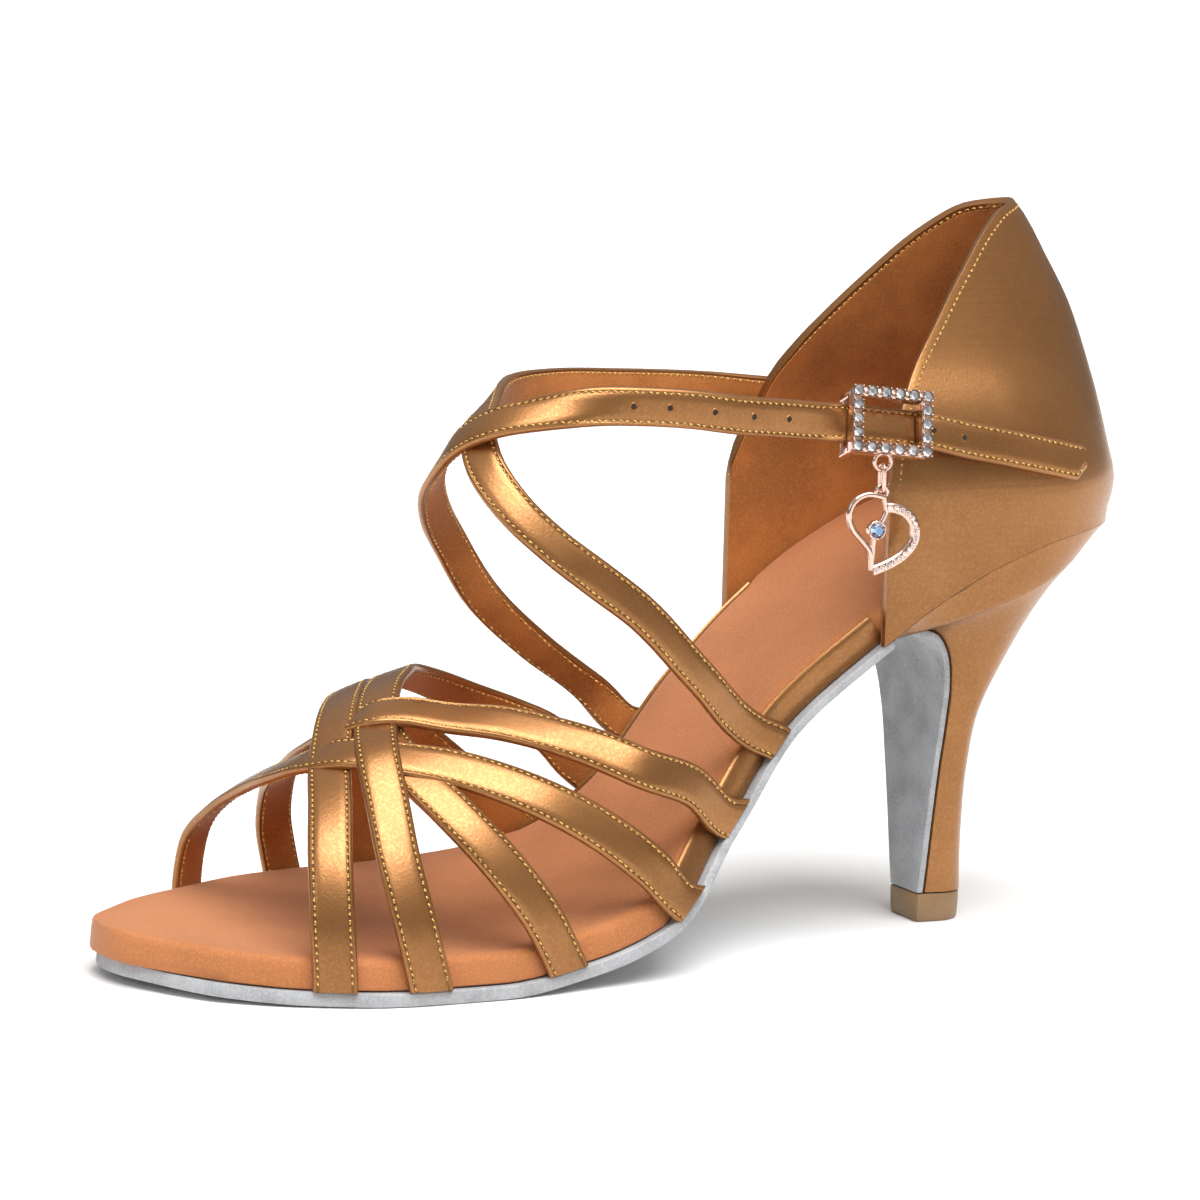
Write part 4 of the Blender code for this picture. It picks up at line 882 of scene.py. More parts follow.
def vamp_pairs(rows):
    pairs = []
    for station, around, lift, sag in rows:
        x = station * SHOE_LENGTH
        normal = foot_normal(x, around)
        pairs.append((foot_point(x, around, sag) + normal * lift * WEAVE_STEP, normal))
    return pairs


def under_pairs():
    under = anchor_pairs(UNDER_ANCHOR, OUTER)
    under += [(p, free_normal(p, UNDER_TILT)) for p in shares(UNDER_STRAP)]
    return under + [counter_face(place, INNER, GAP + STRAP_THICK / 2) for place in UNDER_END]


def over_pairs():
    over = tail_pairs()
    over += [(p, free_normal(p, OVER_TILT)) for p in shares(OVER_STRAP)]
    return over + anchor_pairs(OVER_ANCHOR, INNER)[::-1]


def build_holes(course):
    """Punched holes of the long strap: a pressed rim, and a dark disc on the face that is painted
    shade for the hole's inside.
    """
    rims = bmesh.new()
    shade_discs = bmesh.new()
    section = [(HOLE_RADIUS * 1.25 + HOLE_RIM * cos(a), HOLE_RIM_HIGH * sin(a))
               for a in (2 * pi * k / 6 for k in range(6))]
    for at in HOLES:
        point, along, side, face = course(at)
        top = point + face * (STRAP_THICK / 2 * FACE_HIGH + HOLE_LIFT)
        place = axes_at(top, along, side, face)
        loops = [[place @ Vector((r * cos(a), r * sin(a), z)) for r, z in section]
                 for a in (2 * pi * j / 16 for j in range(16))]
        sweep(rims, loops, closed=True)
        # a thin near-black disc on the strap's face, painted shade in place of a hole
        bmesh.ops.create_cone(shade_discs, cap_ends=True, segments=16, radius1=HOLE_RADIUS * 1.2,
                              radius2=HOLE_RADIUS * 1.2, depth=HOLE_SHADE_THICK, matrix=place)
    finish_piece(rims, "strap_hole_rims", "gold_strap", "instep_straps")
    finish_piece(shade_discs, "strap_hole_shade", "hole", "instep_straps")


# Body of the shoe

TOE_FINE = 0.008          # length of the toe whose sections lie closer together
TOE_STEP = 0.0008
INSOLE_STEP = 0.0022
SOLE_STEP = 0.0025
RAND_FINE = 4             # sections of a rand for each step of the arch
RAND_FADE = 0.0004        # over which the insole makes room for a rand


def places_to(last, step):
    """Places from the toe on, closer together round its tip."""
    places = []
    x = 0.0
    while x < last:
        places.append(x)
        x += TOE_STEP if x < TOE_FINE else step
    return places


def insole_edge(half):
    """One side's section of the insole, from its underside to near its middle."""
    soft = min(INSOLE_ROUND, half * 0.8)
    edge = [(half - 0.0002, INSOLE_THICK), (half, INSOLE_THICK - 0.0002),
            (half, INSOLE_THICK * 0.6)]
    for turn in (radians(degrees) for degrees in range(0, 91, 15)):
        edge.append((half - soft * (1 - cos(turn)), INSOLE_ROUND * (1 - sin(turn))))
    return edge + [(half * 0.8 - soft * 0.6, 0.0), (half * 0.45, 0.0), (half * 0.12, 0.0)]


def insole_rings():
    reach = SEAT_BACK_X - COUNTER_WALL - INSOLE_EASE - SEAT_MID_X
    places = places_to(SEAT_MID_X, INSOLE_STEP)
    places += seat_places(reach, 88, 5)
    places.append(SEAT_MID_X + reach * 0.9995)
    start = RAND_START * SHOE_LENGTH
    stop = arch_station(RAND_LAST)
    rings = []
    for x in places:
        inset = (RAND_THICK + GAP * 0.2) * ease(x, start - RAND_FADE, start)
        inset *= 1 - ease(x, stop, stop + RAND_FADE)
        rings.append(both_sides(lambda side: [
            bed_point(x, side * y, depth)
            for y, depth in insole_edge(insole_half(x, side) - inset)]))
    return rings


def build_insole():
    swept_piece("insole_cover", insole_rings(), "insole_suede", "insole")


def build_rand(side, name, slot):
    rings = []
    for k in range(RAND_LAST * RAND_FINE + 1):
        x = arch_station(k / RAND_FINE)
        half = insole_half(x, side)
        edge = [(half - 0.0002, INSOLE_THICK), (half, INSOLE_THICK - 0.0003),
                (half, INSOLE_ROUND * 0.9), (half - RAND_THICK * 0.08, INSOLE_ROUND * 0.45),
                (half - RAND_THICK * 0.35, INSOLE_ROUND * 0.1), (half - RAND_THICK * 0.6, 0.0),
                (half - RAND_THICK * 0.85, INSOLE_ROUND * 0.15),
                (half - RAND_THICK, INSOLE_ROUND * 0.5), (half - RAND_THICK, INSOLE_THICK)]
        rings.append([bed_point(x, side * y, depth) for y, depth in edge])
    swept_piece(name, rings, "gold_strap", slot)


def sole_edge(half, thick):
    soft = SOLE_CHAMFER
    return [(half * 0.5, thick), (half - soft, thick), (half - soft * 0.3, thick - soft * 0.3),
            (half, thick - soft), (half, soft * 0.6), (half - soft * 0.5, 0.0),
            (half * 0.5, 0.0)]


def sole_rings():
    last = SHANK_END * SHOE_LENGTH
    end = max(arch_station(k) for k in range(RAND_STEPS) if arch_station(k) <= last)
    places = [x for x in places_to(last, SOLE_STEP) if x <= end] + [end]
    rings = []
    for x in places:
        thin = ease(x, SHANK[0] * SHOE_LENGTH, SHANK[1] * SHOE_LENGTH)
        thick = SOLE_THICK + (SHANK_THICK - SOLE_THICK) * thin
        edge = SOLE_EDGE + (COUNTER_WALL + GAP - SOLE_EDGE) * thin
        toe = 1 - ease(x, 0.0, TOE_LENGTH * SHOE_LENGTH)
        rings.append(both_sides(lambda side: [
            bed_point(x + SOLE_SETBACK * toe, side * y, INSOLE_THICK + GAP + depth)
            for y, depth in sole_edge(insole_half(x, side) + edge * (1 - toe), thick)]))
    return rings


def build_sole():
    """The sole and the flap down the heel's front."""
    flap = []
    for point, half, away in heel_front_line():
        down = away if away.x < 0 else -away
        flap.append([point + down * (GAP + d) + Vector((0, y, 0))
                     for y, d in mirrored(sole_edge(half, FLAP_THICK))])
    rings = sole_rings()
    flap = dense(rings[-2:] + flap, 4)[4:]
    swept_piece("sole_suede", rings[:-1] + flap, "grey_suede", "outsole")


HEEL_SHARES = (0.0, 0.04, 0.2, 0.4, 0.6, 0.8)    # of a section's sides, up to its widest
HEEL_CORNER = 0.0003      # by which its front corners are drawn in
SEAT_DEPTH = INSOLE_THICK + GAP * 0.15    # of the heel's top, close under the counter


def fine_section(front, front_half, back, half):
    """The heel's section, flat in front and round behind, outer side first."""
    points = []
    for share in HEEL_SHARES:
        width = front_half + (half - front_half) * sin(pi / 2 * share)
        points.append((share * HEEL_WIDEST, width - (0 if share else HEEL_CORNER)))
    for turn in (radians(a) for a in range(0, 90, 8)):
        points.append((HEEL_WIDEST + (1 - HEEL_WIDEST) * sin(turn), half * cos(turn)))
    return both_sides(lambda side: [front.lerp(back, s) + Vector((0, side * y, 0))
                                    for s, y in points])


def fine_seat_ring():
    lip = heel_lip()
    places = [lip + (SEAT_MID_X - lip) * share for share in HEEL_SHARES]
    places += seat_places(SEAT_BACK_X - SEAT_MID_X, 90, 8)
    return both_sides(lambda side: [
        Vector((x, side * seat_half(x, side), under_insole(x, SEAT_DEPTH))) for x in places])


def build_heel():
    rings = [fine_seat_ring()]
    for row in HEEL:
        back = Vector((row[3] * SHOE_LENGTH, 0, SOLE_TOP + row[4] * HEEL_RISE))
        rings.append(fine_section(heel_front(row), row[2] * BALL_WIDTH, back,
                                  row[5] * BALL_WIDTH))
    back = Vector((HEEL_FOOT[2] * SHOE_LENGTH, 0, TIP_HEIGHT + GAP))
    rings.append(fine_section(foot_front(), HEEL_FOOT[1] * BALL_WIDTH, back,
                              HEEL_FOOT[3] * BALL_WIDTH))
    swept_piece("heel_cover", dense(rings, 5), "gold_panel", "heel")


# Shares of the tip's height, each with the tip's size there
TIP_RINGS = ((1.0, 0.97), (0.95, 1.0), (0.45, 0.99), (0.15, 0.97), (0.04, 0.95), (0.0, 0.92))


def build_tip():
    front = HEEL_FOOT[0] * SHOE_LENGTH - GAP - FLAP_THICK
    back = HEEL_FOOT[2] * SHOE_LENGTH
    rings = []
    for share, grow in TIP_RINGS:
        inset = (back - front) * (1 - grow) / 2
        height = TIP_HEIGHT * share
        rings.append(fine_section(Vector((front + inset, 0, height)),
                                  HEEL_FOOT[1] * BALL_WIDTH * grow,
                                  Vector((back - inset, 0, height)),
                                  HEEL_FOOT[3] * BALL_WIDTH * grow))
    swept_piece("heel_tip_cover", rings, "tip_plastic", "heel_tip")


# Counter

COUNTER_FINE_COLUMNS = 24
COUNTER_FINE_ROWS = 22
FOLD = 0.0011             # of the gold leather over the rim, to the inside
LINING_THICK = 0.0003
RIM_ROUND = 0.00055
RIM_ANGLE = radians(50)   # edges sharper than this are rounded
RIM_SEW = 0.0016          # of the outer stitch row from the rim
LEAST_LINING = 0.012      # height of wall below which no lining is laid


def counter_columns():
    """Strips of points up the counter's outer face, round from one front to the other."""
    strips = []
    for side in (OUTER, INNER):
        front = counter_front(side)
        count = COUNTER_FINE_COLUMNS
        places = [front + (SEAT_MID_X - front) * (k / count) ** 1.3 for k in range(count)]
        places += seat_places(SEAT_BACK_X - SEAT_MID_X, 88, 6)
        for x in places + [SEAT_BACK_X] if side == OUTER else places[::-1]:
            low = counter_bottom(x, side)
            rise = counter_height(x, side) - low
            strips.append([counter_place(x, low + rise * k / COUNTER_FINE_ROWS, side)
                           for k in range(COUNTER_FINE_ROWS + 1)])
    return strips


def counter_walls(strips, depth):
    """The same strips, a depth inside the outer face."""
    walls = []
    for j, strip in enumerate(strips):
        before = strips[max(j - 1, 0)]
        after = strips[min(j + 1, len(strips) - 1)]
        wall = []
        for k, point in enumerate(strip):
            along = after[k] - before[k]
            wall.append(point + along_at(strip, k).cross(along).normalized() * depth)
        walls.append(wall)
    return walls


def rim_line(strips, tree, inset):
    """A line on a face, an inset in from the rim."""
    edge = [strip[-1] for strip in strips]
    points = []
    normals = []
    for j, point in enumerate(edge):
        along = along_at(edge, j)
        if along.length < MERGE:
            continue
        _, normal, _, _ = tree.find_nearest(point + (strips[j][-3] - point) * 0.8)
        inwards = normal.cross(along).normalized()
        if inwards.dot(strips[j][0] - point) < 0:
            inwards = -inwards
        spot, normal, _, _ = tree.find_nearest(point + inwards * inset)
        if points and (spot - points[-1]).length < LEAST_STEP:
            continue
        points.append(spot)
        normals.append(normal)
    return points, normals


def build_counter(shoe):
    strips = counter_columns()
    walls = counter_walls(strips, COUNTER_WALL)
    foot = [(1.0, 0.0)] + [(0.0, 0.0)] * COUNTER_FINE_ROWS    # marks the bottom edge
    bm = bmesh.new()
    sweep(bm, [out + wall[::-1] for out, wall in zip(strips, walls)],
          values=[foot + foot[::-1]] * len(strips))
    close_ends(bm)
    bmesh.ops.recalc_face_normals(bm, faces=bm.faces)
    tree = BVHTree.FromBMesh(bm)
    bottom = bm.verts.layers.float["along"]
    sharp = [e for e in bm.edges if e.is_manifold and e.calc_face_angle() > RIM_ANGLE
             and not all(v[bottom] for v in e.verts)]
    bmesh.ops.bevel(bm, geom=sharp, offset=RIM_ROUND, offset_type="OFFSET", segments=4,
                    profile=0.5, affect="EDGES", clamp_overlap=True, material=-1)
    finish_piece(bm, "counter_cover", "gold_panel", "counter", covers=True)
    build_counter_lining(strips)
    bm = bmesh.new()
    for face, inset in ((strips, RIM_SEW), (walls, FOLD * 0.75)):
        points, normals = rim_line(face, tree, inset)
        points = [p + n * THREAD_LIFT for p, n in zip(points, normals)]
        sew_line(bm, points, normals, shoe)
    finish_piece(bm, "counter_stitches", "thread", "counter", smooth=pi)


def build_counter_lining(strips):
    """The suede inside the cup, short of the rim by the leather's fold."""
    outer = counter_walls(strips, COUNTER_WALL - 0.0001)
    inner = counter_walls(strips, COUNTER_WALL + LINING_THICK)
    rings = []
    for out, wall in zip(outer, inner):
        length = (out[-1] - out[0]).length
        if length >= LEAST_LINING:
            keep = 1 - FOLD / length
            rings.append(resample(out, keep) + resample(wall, keep)[::-1])
    swept_piece("counter_lining", rings, "lining_suede", "counter", covers=False)


def resample(strip, keep):
    """A strip's points drawn back so that it ends at a share of its length."""
    points = []
    for k in range(len(strip)):
        at = k * keep
        low = min(int(at), len(strip) - 2)
        points.append(strip[low].lerp(strip[low + 1], at - low))
    return points


# Buckle, tab and charm

def rounded_box(long, high, soft, steps=5):
    points = []
    for sx, sz, start in ((1, 1, 0), (-1, 1, 90), (-1, -1, 180), (1, -1, 270)):
        for k in range(steps):
            turn = radians(start + 90 * k / (steps - 1))
            points.append((sx * (long / 2 - soft) + soft * cos(turn),
                           sz * (high / 2 - soft) + soft * sin(turn)))
    return points


def wire(bm, points, size, place, normal, closed=False, sides=10):
    """A wire through points in one plane, by its radius or its half width and thickness."""
    rings = []
    wide, thick = size if isinstance(size, tuple) else (size, size)
    turns = [2 * pi * (j + 0.5) / sides for j in range(sides)]
    for k, point in enumerate(points):
        if closed:
            along = points[(k + 1) % len(points)] - points[k - 1]
        else:
            along = along_at(points, k)
        side = along.cross(normal).normalized()
        rings.append([place @ (point + side * wide * cos(t) + normal * thick * sin(t))
                      for t in turns])
    sweep(bm, rings, closed)
    if not closed:
        close_ends(bm)


def round_points(radius, count, depth=0.0):
    """A circle that faces outwards, a depth in front of the middle."""
    return [Vector((radius * cos(2 * pi * k / count), depth, radius * sin(2 * pi * k / count)))
            for k in range(count)]


LIE_FLAT = Matrix.Rotation(-pi / 2, 4, "X")   # turns a shape's axis from up to outwards
ACROSS = Vector((1, 0, 0))
OUTWARDS = Vector((0, 1, 0))
WIRE_BEND = 2 * WIRE + GAP    # radius of the bends that hang in one another
STONE_FACETS = radians(5)     # angle that stays sharp on a cut stone
ROUND_STEPS = 28          # points round the eye and the main stone
HEART_SOFT = 0.9          # share of its wire that the heart's stem has
BEZEL_WIRE = 0.0002
PRONG_RADIUS = 0.00028
SMALL_STONE = 0.00048         # radius of the stones down the heart's side
SMALL_CUP = 0.00056
SMALL_PITCH = 0.00125


def add_stone(bm, place, radius, height, sides=8):
    """A cut stone: a flat table on a ring of facets."""
    turn = Matrix.Translation((0, 0, height / 2))
    bmesh.ops.create_cone(bm, cap_ends=True, segments=sides, radius1=radius, radius2=radius * 0.55,
                          depth=height, matrix=place @ LIE_FLAT @ turn)


def add_cup(metal, place, radius, height, prongs=4, lean=pi / 4):
    """A stone's cup with its prongs."""
    turn = Matrix.Translation((0, 0, height * 0.2))
    bmesh.ops.create_cone(metal, cap_ends=True, segments=14, radius1=radius * 0.92,
                          radius2=radius, depth=height * 0.8, matrix=place @ LIE_FLAT @ turn)
    for k in range(prongs):
        angle = 2 * pi * k / prongs + lean
        spot = Matrix.Translation((radius * cos(angle), height * 0.75, radius * sin(angle)))
        size = Matrix.Diagonal((radius * 0.22, radius * 0.38, radius * 0.22, 1))
        bmesh.ops.create_icosphere(metal, subdivisions=1, radius=1.0, matrix=place @ spot @ size)


def buckle_spots():
    """Middles of the stones, round the frame's band."""
    long = BUCKLE_LONG - BUCKLE_BAND
    high = BUCKLE_HIGH - BUCKLE_BAND
    level = [(long * (k / 5 - 0.5), z) for k in range(6) for z in (high / 2, -high / 2)]
    return level + [(x, high * (k / 4 - 0.5)) for k in range(1, 4) for x in (-long / 2, long / 2)]


def build_buckle(shoe):
    place = buckle_frame()
    front = BUCKLE_BACK + BUCKLE_DEEP
    bm = bmesh.new()
    profile = ((0.0002, 0.0), (0.0, 0.0003), (0.0, BUCKLE_DEEP - 0.0006),
               (0.0002, BUCKLE_DEEP - 0.0002), (0.0005, BUCKLE_DEEP),
               (BUCKLE_BAND - 0.0004, BUCKLE_DEEP), (BUCKLE_BAND - 0.0001, BUCKLE_DEEP - 0.0003),
               (BUCKLE_BAND, 0.0003), (BUCKLE_BAND - 0.0002, 0.0))
    loops = []
    for inset, depth in profile:
        soft = max(BUCKLE_ROUND - inset * 0.4, 0.0002)
        loops.append([place @ Vector((x, BUCKLE_BACK + depth, z)) for x, z in
                      rounded_box(BUCKLE_LONG - 2 * inset, BUCKLE_HIGH - 2 * inset, soft)])
    sweep(bm, loops, closed=True)
    bmesh.ops.create_cone(bm, cap_ends=True, segments=20, radius1=BAR_RADIUS, radius2=BAR_RADIUS,
                          depth=BUCKLE_HIGH - BUCKLE_BAND,
                          matrix=place @ Matrix.Translation((BAR_ALONG, -BAR_BACK, 0)))
    reach = BAR_BACK + BAR_RADIUS
    for sign in (-1, 1):
        middle = sign * (BUCKLE_HIGH - BUCKLE_BAND) / 2
        rings = []
        for y in (-reach, -reach + 0.0002, BUCKLE_BACK + BUCKLE_BAND / 2):
            grow = 0.8 if y == -reach else 1.0
            rings.append([place @ Vector((BAR_ALONG + a, y, middle + b)) for a, b in
                          rounded_box(POST_WIDTH * grow, POST_DEEP * grow, 0.0003, 4)])
        sweep(bm, rings)
    close_ends(bm)
    eye = round_points(EYE_RADIUS, ROUND_STEPS)
    wire(bm, eye, WIRE, upright_frame(place), OUTWARDS, closed=True)
    cups = bmesh.new()
    stones = bmesh.new()
    for x, z in buckle_spots():
        spot = place @ Matrix.Translation((x, front, z))
        add_cup(cups, spot, shoe.stone / 2, 0.0006)
        add_stone(stones, spot @ Matrix.Translation((0, 0.0002, 0)), shoe.stone * 0.45, 0.0005)
    finish_piece(bm, "buckle_metal", "rose_metal", "buckle", covers=True)
    finish_piece(cups, "buckle_settings", "dark_metal", "buckle")
    finish_piece(stones, "buckle_stones", "clear_stone", "buckle", smooth=STONE_FACETS)


def build_tab():
    """The short strap from the counter, looped round the buckle's bar."""
    place = buckle_frame()
    middle = BAR_RADIUS + GAP + TAB_THICK / 2
    line = [Vector((BAR_ALONG + TAB_LONG * (1 - k / 10), -BAR_BACK + middle, 0))
            for k in range(10)]
    for turn in (radians(90 + TAB_TURN * k / 14) for k in range(15)):
        line.append(Vector((BAR_ALONG + middle * cos(turn), -BAR_BACK + middle * sin(turn), 0)))
    rings = []
    for k, point in enumerate(line):
        along = along_at(line, k).normalized()
        out = Vector((-along.y, along.x, 0))
        rings.append([place @ (point + Vector((0, 0, z)) + out * t) for t, z in
                      rounded_box(TAB_THICK, TAB_HIGH, TAB_THICK * 0.45, 4)])
    swept_piece("tab_leather", rings, "gold_strap", "buckle_tab")


def build_link():
    points = []
    for start, level in ((0.0, -EYE_RADIUS), (pi, -EYE_RADIUS - LINK_DROP)):
        for turn in (start + pi * k / 12 for k in range(13)):
            points.append(Vector((0, WIRE_BEND * cos(turn), level + WIRE_BEND * sin(turn))))
    bm = bmesh.new()
    wire(bm, points, WIRE, upright_frame(buckle_frame()), ACROSS, closed=True)
    finish_piece(bm, "link_wire", "rose_metal", "charm_link", covers=True, body="link")


def heart_points(rows):
    sized = [(x * HEART_SIZE, 0, z * HEART_SIZE) for x, z in rows]
    return [Vector(row) for row in smooth_rows(sized, 5)]


def build_heart():
    hang = Matrix.Translation((0, 0, -EYE_RADIUS - LINK_DROP - WIRE_BEND))
    place = upright_frame(buckle_frame()) @ hang
    bm = bmesh.new()
    wire(bm, round_points(WIRE_BEND, 24), WIRE, place, OUTWARDS, closed=True)
    wire(bm, heart_points(HEART_LOBE), HEART_WIRE, place, OUTWARDS)
    wire(bm, heart_points(HEART_STEM), HEART_WIRE * HEART_SOFT, place, OUTWARDS)
    side = heart_points(HEART_SIDE)
    wire(bm, side, (HEART_BAND / 2, HEART_THICK / 2), place, OUTWARDS, sides=14)
    seat = place @ Matrix.Translation((STONE_AT[0] * HEART_SIZE, 0, STONE_AT[1] * HEART_SIZE))
    bmesh.ops.create_cone(bm, cap_ends=True, segments=ROUND_STEPS, radius1=STONE_RADIUS * 0.98,
                          radius2=STONE_RADIUS * 0.98, depth=HEART_THICK, matrix=seat @ LIE_FLAT)
    bezel = round_points(STONE_RADIUS * 0.94, ROUND_STEPS, HEART_THICK / 2)
    wire(bm, bezel, BEZEL_WIRE, seat, OUTWARDS, closed=True, sides=8)
    for turn in (pi / 2 * k + 0.4 for k in range(4)):
        spot = Matrix.Translation((STONE_RADIUS * 0.9 * cos(turn), HEART_THICK / 2 + 0.0003,
                                   STONE_RADIUS * 0.9 * sin(turn)))
        bmesh.ops.create_icosphere(bm, subdivisions=1, radius=PRONG_RADIUS, matrix=seat @ spot)
    finish_piece(bm, "heart_metal", "rose_metal", "charm_heart", covers=True, body="heart")
    bm = bmesh.new()
    add_stone(bm, seat @ Matrix.Translation((0, HEART_THICK / 2, 0)),
              STONE_RADIUS * 0.84, 0.0009, 10)
    finish_piece(bm, "heart_main_stone", "blue_stone", "charm_heart", body="heart",
                 smooth=STONE_FACETS)
    stones = bmesh.new()
    cups = bmesh.new()
    line = Course([(p, OUTWARDS) for p in side])
    count = int(line.length / SMALL_PITCH)
    for k in range(count):
        point = line((k + 0.5) * line.length / count)[0]
        spot = place @ Matrix.Translation(point + OUTWARDS * HEART_THICK / 2)
        add_cup(cups, spot, SMALL_CUP, 0.0003, 2, 0.8 + k)
        add_stone(stones, spot @ Matrix.Translation((0, 0.0001, 0)), SMALL_STONE, 0.00028, 6)
    finish_piece(stones, "heart_stones", "clear_stone", "charm_heart", body="heart",
                 smooth=STONE_FACETS)
    finish_piece(cups, "heart_settings", "rose_metal", "charm_heart", body="heart")


# Materials

def feed(tree, node, inputs):
    """Link or set a node's inputs."""
    for key, value in inputs.items():
        if isinstance(value, bpy.types.NodeSocket):
            tree.links.new(value, node.inputs[key])
        else:
            node.inputs[key].default_value = value


def add(tree, kind, inputs=None, **props):
    """A node with its properties and with its inputs set or linked."""
    node = tree.nodes.new(kind)
    for key, value in props.items():
        setattr(node, key, value)
    feed(tree, node, inputs or {})
    return node


def math(tree, operation, *values):
    return add(tree, "ShaderNodeMath", dict(enumerate(values)), operation=operation).outputs[0]


def mix(tree, factor, a, b):
    return add(tree, "ShaderNodeMix", {0: factor, 6: a, 7: b}, data_type="RGBA").outputs[2]


def span(tree, value, low, high, to_low=0.0, to_high=1.0):
    """A value eased from one range to another."""
    return add(tree, "ShaderNodeMapRange", {0: value, 1: low, 2: high, 3: to_low, 4: to_high},
               interpolation_type="SMOOTHSTEP").outputs[0]


def noise(tree, place, **inputs):
    return add(tree, "ShaderNodeTexNoise", {"Vector": place, **inputs}).outputs[0]


FLOAT = "NodeSocketFloat"
VECTOR = "NodeSocketVector"


def new_group(name, inputs, outputs):
    """A shader node group with named sockets, its input sockets and its output node."""
    group = bpy.data.node_groups.new(name, "ShaderNodeTree")
    for label, kind in inputs:
        group.interface.new_socket(name=label, in_out="INPUT", socket_type=kind)
    for label in outputs:
        group.interface.new_socket(name=label, in_out="OUTPUT", socket_type=FLOAT)
    ins = group.nodes.new("NodeGroupInput").outputs
    return group, ins, group.nodes.new("NodeGroupOutput")


def grain_group():
    """Pebbled leather or nap: a height, a slow tone and specks."""
    group, ins, outs = new_group("fine_grain", (("Place", VECTOR), ("Scale", FLOAT),
                                                ("Patches", FLOAT)),
                                 ("Height", "Tone", "Speck"))
    fine = noise(group, ins[0], Scale=ins[1], Detail=3.0, Roughness=0.6)
    cells = add(group, "ShaderNodeTexVoronoi", {"Vector": ins[0], "Scale": ins[1]}, feature="F1")
    height = math(group, "MULTIPLY_ADD", cells.outputs[0], -0.5, fine)
    slow = noise(group, ins[0], Scale=ins[2], Detail=4.0, Roughness=0.55)
    speck = span(group, fine, 0.42, 0.68)
    feed(group, outs, {0: height, 1: span(group, slow, 0.3, 0.7), 2: speck})
    return group


def seam_shade_group():
    """Painted shade in the groove of a stitch row, at an inset from an edge, made patchy by noise.
    """
    group, ins, outs = new_group("painted_seam_shade", (("Across", FLOAT), ("Place", VECTOR),
                                                  ("Inset", FLOAT)), ("Mask",))
    off = math(group, "ABSOLUTE", math(group, "SUBTRACT", ins[0], ins[2]))
    band = span(group, off, 0.00016, 0.00038, 1.0, 0.0)
    # noise makes the painted shade patchy along the row
    uneven = span(group, noise(group, ins[1], Scale=900.0), 0.3, 0.6, 0.7, 1.0)
    feed(group, outs, {0: math(group, "MULTIPLY", band, uneven)})
    return group


def crease_group():
    """Fine level lines, as in leather drawn over a form."""
    group, ins, outs = new_group("fine_creases", (("Place", VECTOR),), ("Height",))
    drawn = add(group, "ShaderNodeMapping", {"Vector": ins[0], "Scale": (30.0, 30.0, 1150.0)})
    lines = noise(group, drawn.outputs[0], Scale=1.0, Detail=2.0, Roughness=0.5)
    patch = noise(group, ins[0], Scale=45.0, Detail=1.0)
    where = span(group, patch, 0.35, 0.65, 0.35, 1.0)
    feed(group, outs, {0: math(group, "MULTIPLY", lines, where)})
    return group


def place_group(tree, name, make, inputs):
    """A node of a group, which is made where it is first used."""
    node = tree.nodes.new("ShaderNodeGroup")
    node.node_tree = bpy.data.node_groups.get(name) or make()
    feed(tree, node, inputs)
    return node.outputs


def start_material(name):
    mat = bpy.data.materials.new(name)
    mat.use_nodes = True
    tree = mat.node_tree
    place = tree.nodes.new("ShaderNodeTexCoord").outputs["Object"]
    return tree, tree.nodes["Principled BSDF"], place


def add_bump(tree, shader, height, strength, distance):
    bump = add(tree, "ShaderNodeBump", {"Strength": strength, "Distance": distance,
                                        "Height": height})
    feed(tree, shader, {"Normal": bump.outputs[0]})


def opaque(color):
    return (color[0], color[1], color[2], 1.0)


def deeper(color, share):
    return [c * share for c in color]


def grained(name, light, dark, scale, patches):
    """A material whose colour goes from dark to light with the grain's tone."""
    tree, shader, place = start_material(name)
    grain = place_group(tree, "fine_grain", grain_group,
                        {"Place": place, "Scale": scale, "Patches": patches})
    color = mix(tree, grain["Tone"], opaque(dark), opaque(light))
    return tree, shader, place, grain, color


def gold_leather(name, shoe, panel):
    tree, shader, place, grain, color = grained(name, shoe.gold_light, shoe.gold_dark,
                                                1800.0, 40.0)
    speck = math(tree, "MULTIPLY", grain["Speck"], 0.12)
    color = mix(tree, speck, color, opaque(shoe.gold_spark))
    height = grain["Height"]
    if panel:
        lines = place_group(tree, "fine_creases", crease_group, {"Place": place})
        height = math(tree, "MULTIPLY_ADD", lines[0], 1.8, height)
    else:
        # painted shade: the colour darkens to the dark thread colour in a band along each stitch
        # row's groove
        across = add(tree, "ShaderNodeAttribute", attribute_name="across").outputs["Fac"]
        seam_shade = place_group(tree, "painted_seam_shade", seam_shade_group,
                           {"Across": across, "Place": place, "Inset": SEW_INSET})
        color = mix(tree, math(tree, "MULTIPLY", seam_shade["Mask"], 0.8), color,
                    opaque(shoe.thread_shade))
    rough = span(tree, grain["Speck"], 0.0, 1.0, 0.36, 0.29)
    feed(tree, shader, {"Base Color": color, "Roughness": rough, "Metallic": 0.82,
                        "Coat Weight": 0.30, "Coat Roughness": 0.30})
    add_bump(tree, shader, height, 0.35, 0.00006)


def suede(name, light, dark, nap, patches=55.0):
    tree, shader, _, grain, color = grained(name, light, dark, nap, patches)
    color = mix(tree, math(tree, "MULTIPLY", grain["Speck"], 0.3), color,
                opaque([min(1.0, c * 1.5) for c in light]))
    rough = span(tree, grain["Tone"], 0.0, 1.0, 0.95, 0.8)
    feed(tree, shader, {"Base Color": color, "Roughness": rough, "Sheen Weight": 0.25,
                        "Sheen Roughness": 0.4, "Specular IOR Level": 0.25})
    add_bump(tree, shader, grain["Height"], 0.5, 0.00012)


